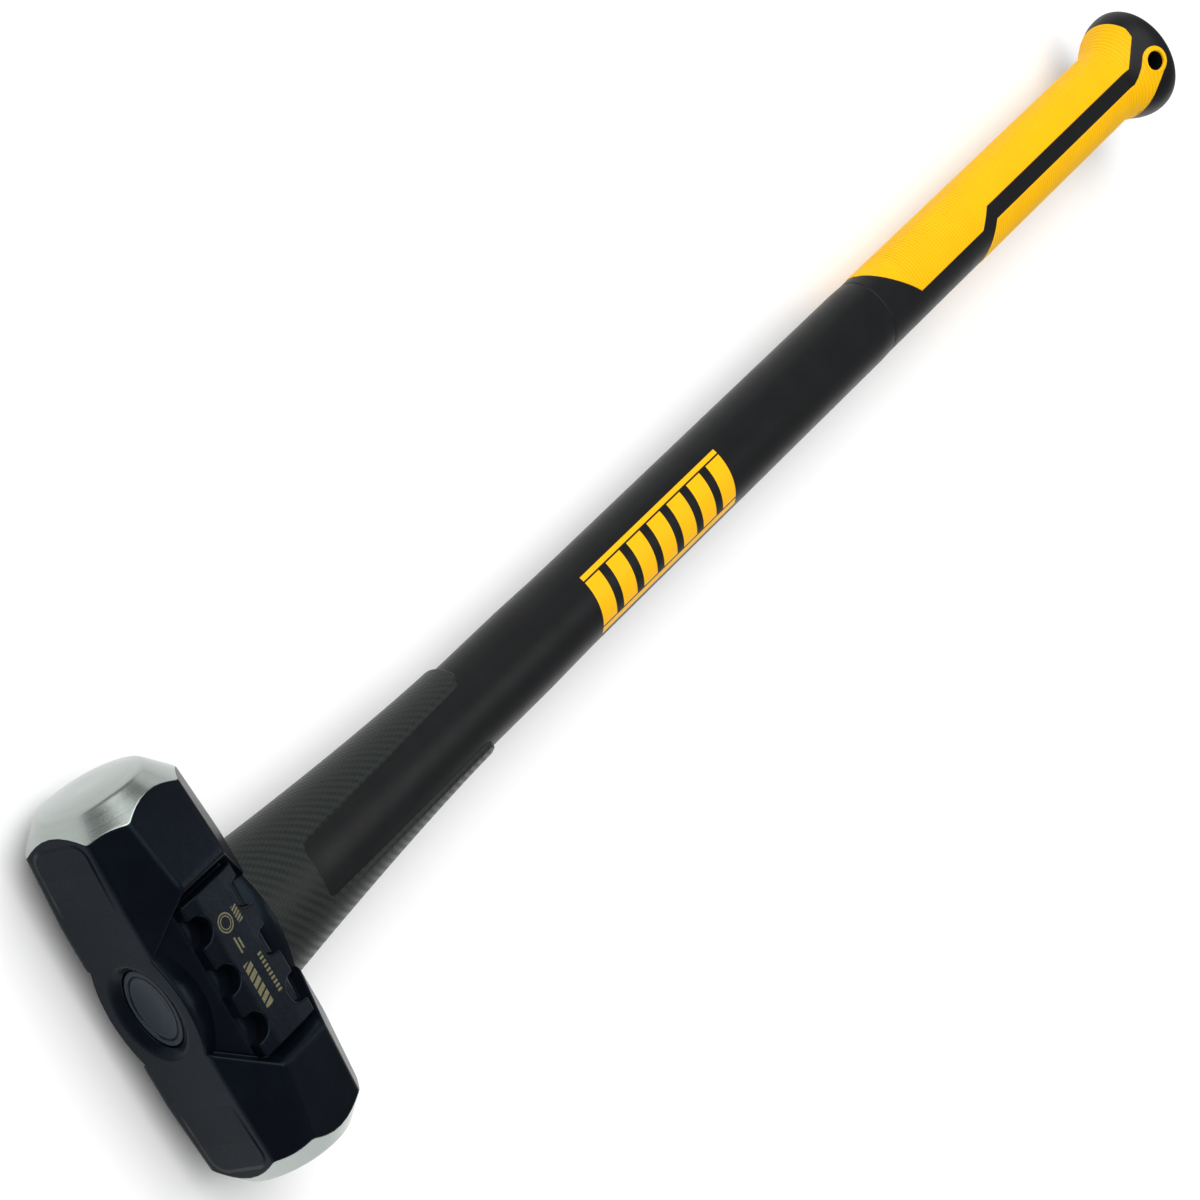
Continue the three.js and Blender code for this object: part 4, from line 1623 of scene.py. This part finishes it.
@dataclass
class TetherTongue:
    """The yellow tongue from the narrow panel round the tether hole, on both faces, with its lining."""

    shop: Workshop
    handle: Handle
    hole_y: float = 840.4
    hole_radius: float = 5.0
    ring_radius: float = 7.9
    left: tuple[Pair, ...] = ((4.1, 821.0), (4.1, 825.0), (-1.0, 831.0), (-4.7, 834.1))
    right: tuple[Pair, ...] = (
        (7.4, 843.0), (12.8, 837.5), (19.3, 833.0), (23.5, 829.0), (23.5, 821.0),
    )
    proud: float = 0.34
    edge: float = 0.8
    sunk: float = 1.4
    lip: float = 0.7
    lining: float = 0.5
    columns: int = 240

    def _reach(self, turn: Grid) -> Grid:
        """How far the tongue's outline lies from the hole's centre in each direction.

        Each direction's line is crossed with every side of the outline, the nearest crossing
        ahead is kept, and a short running mean rounds the corners.

        Args:
            turn: the directions, in radians.

        Returns:
            A distance for each.
        """
        begin, end = (np.arctan2(y - self.hole_y, x) for x, y in (self.left[-1], self.right[0]))
        arc = np.linspace(begin + FULL_TURN, end, 40)[1:-1]
        round_top = np.column_stack([np.cos(arc), np.sin(arc)]) * self.ring_radius
        corners = [np.array(self.left) - [0, self.hole_y], round_top, np.array(self.right) - [0, self.hole_y]]
        p = np.concatenate(corners)
        side = np.roll(p, -1, axis=0) - p
        ahead = np.column_stack([np.cos(turn), np.sin(turn)])[:, None]
        cross = ahead[..., 0] * side[:, 1] - ahead[..., 1] * side[:, 0]
        safe = np.where(np.abs(cross) < 1e-9, 1e-9, cross)
        far = (p[:, 0] * side[:, 1] - p[:, 1] * side[:, 0]) / safe
        share = (p[:, 0] * ahead[..., 1] - p[:, 1] * ahead[..., 0]) / safe
        hit = (share > -1e-6) & (share < 1 + 1e-6) & (far > 0)
        reach = np.where(hit, far, 1e3).min(axis=1)
        return sum(np.roll(reach, k) for k in (-2, -1, 0, 1, 2)) / 5.0

    def _lift(self, plan: Grid, proud: Grid) -> Grid:
        """Plan points carried up to the grip's surface, and so far proud of it.

        Args:
            plan: (..., 2) points in X and Y.
            proud: how far each stands out.

        Returns:
            (..., 3) points.
        """
        half = self.handle.grip_half(plan[..., 1]) + proud[..., None]
        x = np.clip(plan[..., 0], -0.985 * half[..., 0], 0.985 * half[..., 0])
        z = half[..., 1] * np.sqrt(1 - (x / half[..., 0]) ** 2)
        return np.stack([x, plan[..., 1], z], axis=-1)

    def build(self) -> bpy.types.Object:
        """The tongue: edge, top, lip and hole wall above, and the same mirrored below.

        Returns:
            The tongue.
        """
        turn = np.linspace(0.0, FULL_TURN, self.columns, endpoint=False)
        reach = self._reach(turn)
        bend = np.linspace(0.0, np.pi / 2, 5)
        inner = self.hole_radius + self.lip
        rows = [(reach, -self.sunk), (reach, self.proud - self.edge - 0.2)]
        rows += [(reach - inset, self.proud - drop) for inset, drop in quarter_round(self.edge, 5)]
        ring = self.ring_radius - 1.0
        for s in np.linspace(0.15, 1.0, 9):
            size = (reach - self.edge) * (1 - s) + inner * s
            rows.append((size, self.proud + 0.35 * eased((ring - size) / 1.2 + 0.6)))
        top = rows[-1][1][0]
        rows += [(inner - self.lip * np.sin(t), top - self.lip * (1 - np.cos(t))) for t in bend[1:]]
        upper = []
        for size, proud in rows:
            size = np.broadcast_to(size, turn.shape)
            plan = np.column_stack([np.cos(turn) * size, self.hole_y + np.sin(turn) * size])
            upper.append(self._lift(plan, np.broadcast_to(proud, turn.shape)))
        upper.append(upper[-1] - [0.0, 0.0, self.lining])
        wall = [upper[-1] * [1.0, 1.0, share] for share in (0.75, 0.5, 0.25)]
        half = np.stack(upper + wall)
        middle = half[-1:] * [1.0, 1.0, 0.0]
        both = np.concatenate([half, middle, half[::-1] * [1.0, 1.0, -1.0]])
        band = np.arange(len(both))
        deep = (band >= len(upper) - 1) & (band < len(both) - len(upper))
        shell = Shell(both, closed_along=True, paints=deep.astype(int))
        finishes = [YellowRubber(phase=self.shop.centre[1] * MM), Moulded(name="hole_black")]
        return self.shop.make("tether_tongue", "grip_yellow", [shell], finishes, [])


@dataclass
class Knob:
    """The flared butt, with the tether hole through it and the yellow tongue round its mouths."""

    shop: Workshop
    handle: Handle
    hole_y: float = 840.4
    cut_radius: float = 6.0
    start: float = 814.0
    columns: int = 160
    hole_columns: int = 48

    def build(self) -> bpy.types.Object:
        """The black flare and dome, with the hole cut clean through it.

        Returns:
            The butt.
        """
        butt, wide = self.handle.butt, self.handle.flare_widest
        dome = butt - wide * (1 - np.sin(np.linspace(0.0, np.pi / 2, 26)))
        y = np.concatenate([[self.start], np.linspace(self.start + 0.05, butt - wide - 0.6, 60), dome])
        half = self.handle.grip_half(y)
        tube = Tube(self.shop, self.handle, self.columns)
        finish, shell = Moulded(name="butt_black", roughness=0.4), Shell(tube.rows(y, half))
        knob = self.shop.make("butt_flare", "grip_black", [shell], [finish], ["butt_knob"])
        count = self.hole_columns
        turn = np.pi / count + np.linspace(0.0, FULL_TURN, count, endpoint=False)
        heights = [(0.0, -40.0), (self.cut_radius, -40.0), (self.cut_radius, 40.0), (0.0, 40.0)]
        drill_rows = np.stack([
            np.column_stack([np.cos(turn) * r, self.hole_y + np.sin(turn) * r, np.full(count, z)])
            for r, z in heights
        ])
        drill = self.shop.make("drill", "grip_black", [Shell(drill_rows)], [finish], [])
        cut = knob.modifiers.new("tether_hole", "BOOLEAN")
        cut.operation, cut.solver, cut.object = "DIFFERENCE", "EXACT", drill
        bpy.context.view_layer.update()
        done = bpy.data.meshes.new_from_object(knob.evaluated_get(bpy.context.evaluated_depsgraph_get()))
        knob.modifiers.clear()
        knob.data = done
        bpy.data.objects.remove(drill)
        return knob


@dataclass(frozen=True)
class HiddenWork:
    """The parts inside the head and handle, which keep the frame's own meshes."""

    finishes: tuple[tuple[str, Finish], ...] = (
        ("eye_resin", Moulded(name="poured_resin", colour=(0.30, 0.22, 0.10), second=(0.36, 0.27, 0.13))),
        ("eye_dam_ring", Moulded(name="dam_rubber", colour=(0.012, 0.012, 0.012), roughness=0.7)),
        ("core_rod", Moulded(name="fibreglass", colour=(0.42, 0.40, 0.28), second=(0.52, 0.50, 0.36))),
    )

    def dress(self, nodes: dict) -> None:
        """Lays each finish on its node.

        Args:
            nodes: the frame's nodes by name.
        """
        for name, finish in self.finishes:
            mesh = nodes[name].data
            mesh.materials.clear()
            mesh.materials.append(finish.material())
            log.info("%s: dressed as %s", name, finish.name)


@dataclass
class Studio:
    """Pale floor, soft lights and the camera."""

    position: Colour = (-0.55668, -1.5329, 1.42316)
    heading: float = 21.622
    dip: float = 42.133
    roll: float = 76.271
    lens: float = 139.1075

    def _stand(self, name: str, data: bpy.types.ID, pose: Optional[Matrix] = None) -> bpy.types.Object:
        """Stands a piece of the studio in the scene.

        Args:
            name: its name.
            data: its mesh, lamp or camera.
            pose: its place, where it has one.

        Returns:
            The new object.
        """
        made = bpy.data.objects.new(name, data)
        if pose is not None:
            made.matrix_world = pose
        bpy.context.scene.collection.objects.link(made)
        return made

    def floor(self) -> None:
        """A wide sheet of pale paper, a hair under the hammer."""
        side = np.linspace(-4.0, 4.0, 41)
        x, y = np.meshgrid(side, side)
        points = np.stack([x, y, np.full_like(x, -0.0004)], axis=-1)
        mesh = bpy.data.meshes.new("studio_floor")
        faces, _ = Shell(points, closed_across=False).faces()
        mesh.from_pydata(points.reshape(-1, 3), [], faces.tolist())
        mesh.materials.append(StudioPaper().material())
        self._stand("studio_floor", mesh)

    def light(self, name: str, at: Colour, target: Colour, size: float, power: float) -> None:
        """A square soft light aimed at a point.

        Args:
            name: the light's name.
            at: where it stands.
            target: where it points.
            size: its side in metres.
            power: its power in watts.
        """
        lamp = bpy.data.lights.new(name, "AREA")
        lamp.size, lamp.energy = size, power
        aim = (Vector(target) - Vector(at)).to_track_quat("-Z", "Y")
        self._stand(name, lamp, Matrix.LocRotScale(Vector(at), aim, None))

    def sky(self, towards: Colour, strength: float, spread: float) -> None:
        """A broad even light from one side of overhead.

        Args:
            towards: where it comes from.
            strength: its strength.
            spread: how wide it looks, in radians.
        """
        lamp = bpy.data.lights.new("sky", "SUN")
        lamp.energy, lamp.angle = strength, spread
        self._stand("sky", lamp, Vector(towards).to_track_quat("Z", "Y").to_matrix().to_4x4())

    def world(self, strength: float) -> None:
        """Even white surroundings.

        Args:
            strength: how bright they are.
        """
        world = bpy.data.worlds.new("studio")
        world.use_nodes = True
        back = world.node_tree.nodes["Background"]
        back.inputs["Color"].default_value = (1.0, 1.0, 1.0, 1.0)
        back.inputs["Strength"].default_value = strength
        bpy.context.scene.world = world

    def camera(self) -> None:
        """The camera, looking down along the hammer from beyond its head.

        It turns by its roll about its own view, is raised from straight down to its dip, and then
        turns by its heading from the handle's way towards the head's, all in degrees.
        """
        data = bpy.data.cameras.new("camera")
        data.lens, data.sensor_width, data.clip_start = self.lens, 36.0, 0.05
        roll, raised, heading = np.radians([self.roll, 90.0 - self.dip, -self.heading])
        turn = Matrix.Rotation(heading, 4, "Z") @ Matrix.Rotation(raised, 4, "X")
        turn = turn @ Matrix.Rotation(roll, 4, "Z")
        bpy.context.scene.camera = self._stand("camera", data, Matrix.Translation(self.position) @ turn)

    def build(self) -> None:
        """Everything that isn't the hammer."""
        self.floor()
        self.world(0.3)
        self.sky((-0.5, -0.08, 0.9), 3.1, 1.3)
        self.light("side", (2.0, -0.9, 0.9), (0.0, -0.35, 0.0), 1.2, 9.0)
        self.light("back", (-1.5, 1.6, 0.5), (0.0, -0.1, 0.0), 0.9, 2.0)
        self.light("cheek", (0.24, 0.44, 0.9), (-0.05, -0.42, 0.07), 0.35, 1.2)
        self.camera()
        bpy.context.scene.view_settings.view_transform = "Standard"


def main() -> None:
    """Builds the hammer round the frame, piece by piece, then the studio."""
    logging.basicConfig(level=logging.INFO, format="%(message)s")
    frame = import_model()
    shop = Workshop.from_frame()
    handle = Handle(butt=shop.butt)
    Head(shop).build()
    EyeCap(shop).build()
    tube = Tube(shop, handle)
    guard = Guard(shop, handle)
    tube.shaft(guard)
    tube.sleeve()
    guard.build()
    for side, edge_points in PANEL_EDGES.items():
        node = f"grip_panel_{side.name.lower()}"
        GripPanel(shop, handle, side, edge_points, [node]).build()
    TetherTongue(shop, handle).build()
    Knob(shop, handle).build()
    HiddenWork().dress(frame["nodes"])
    Studio().build()


if __name__ == "__main__":
    main()
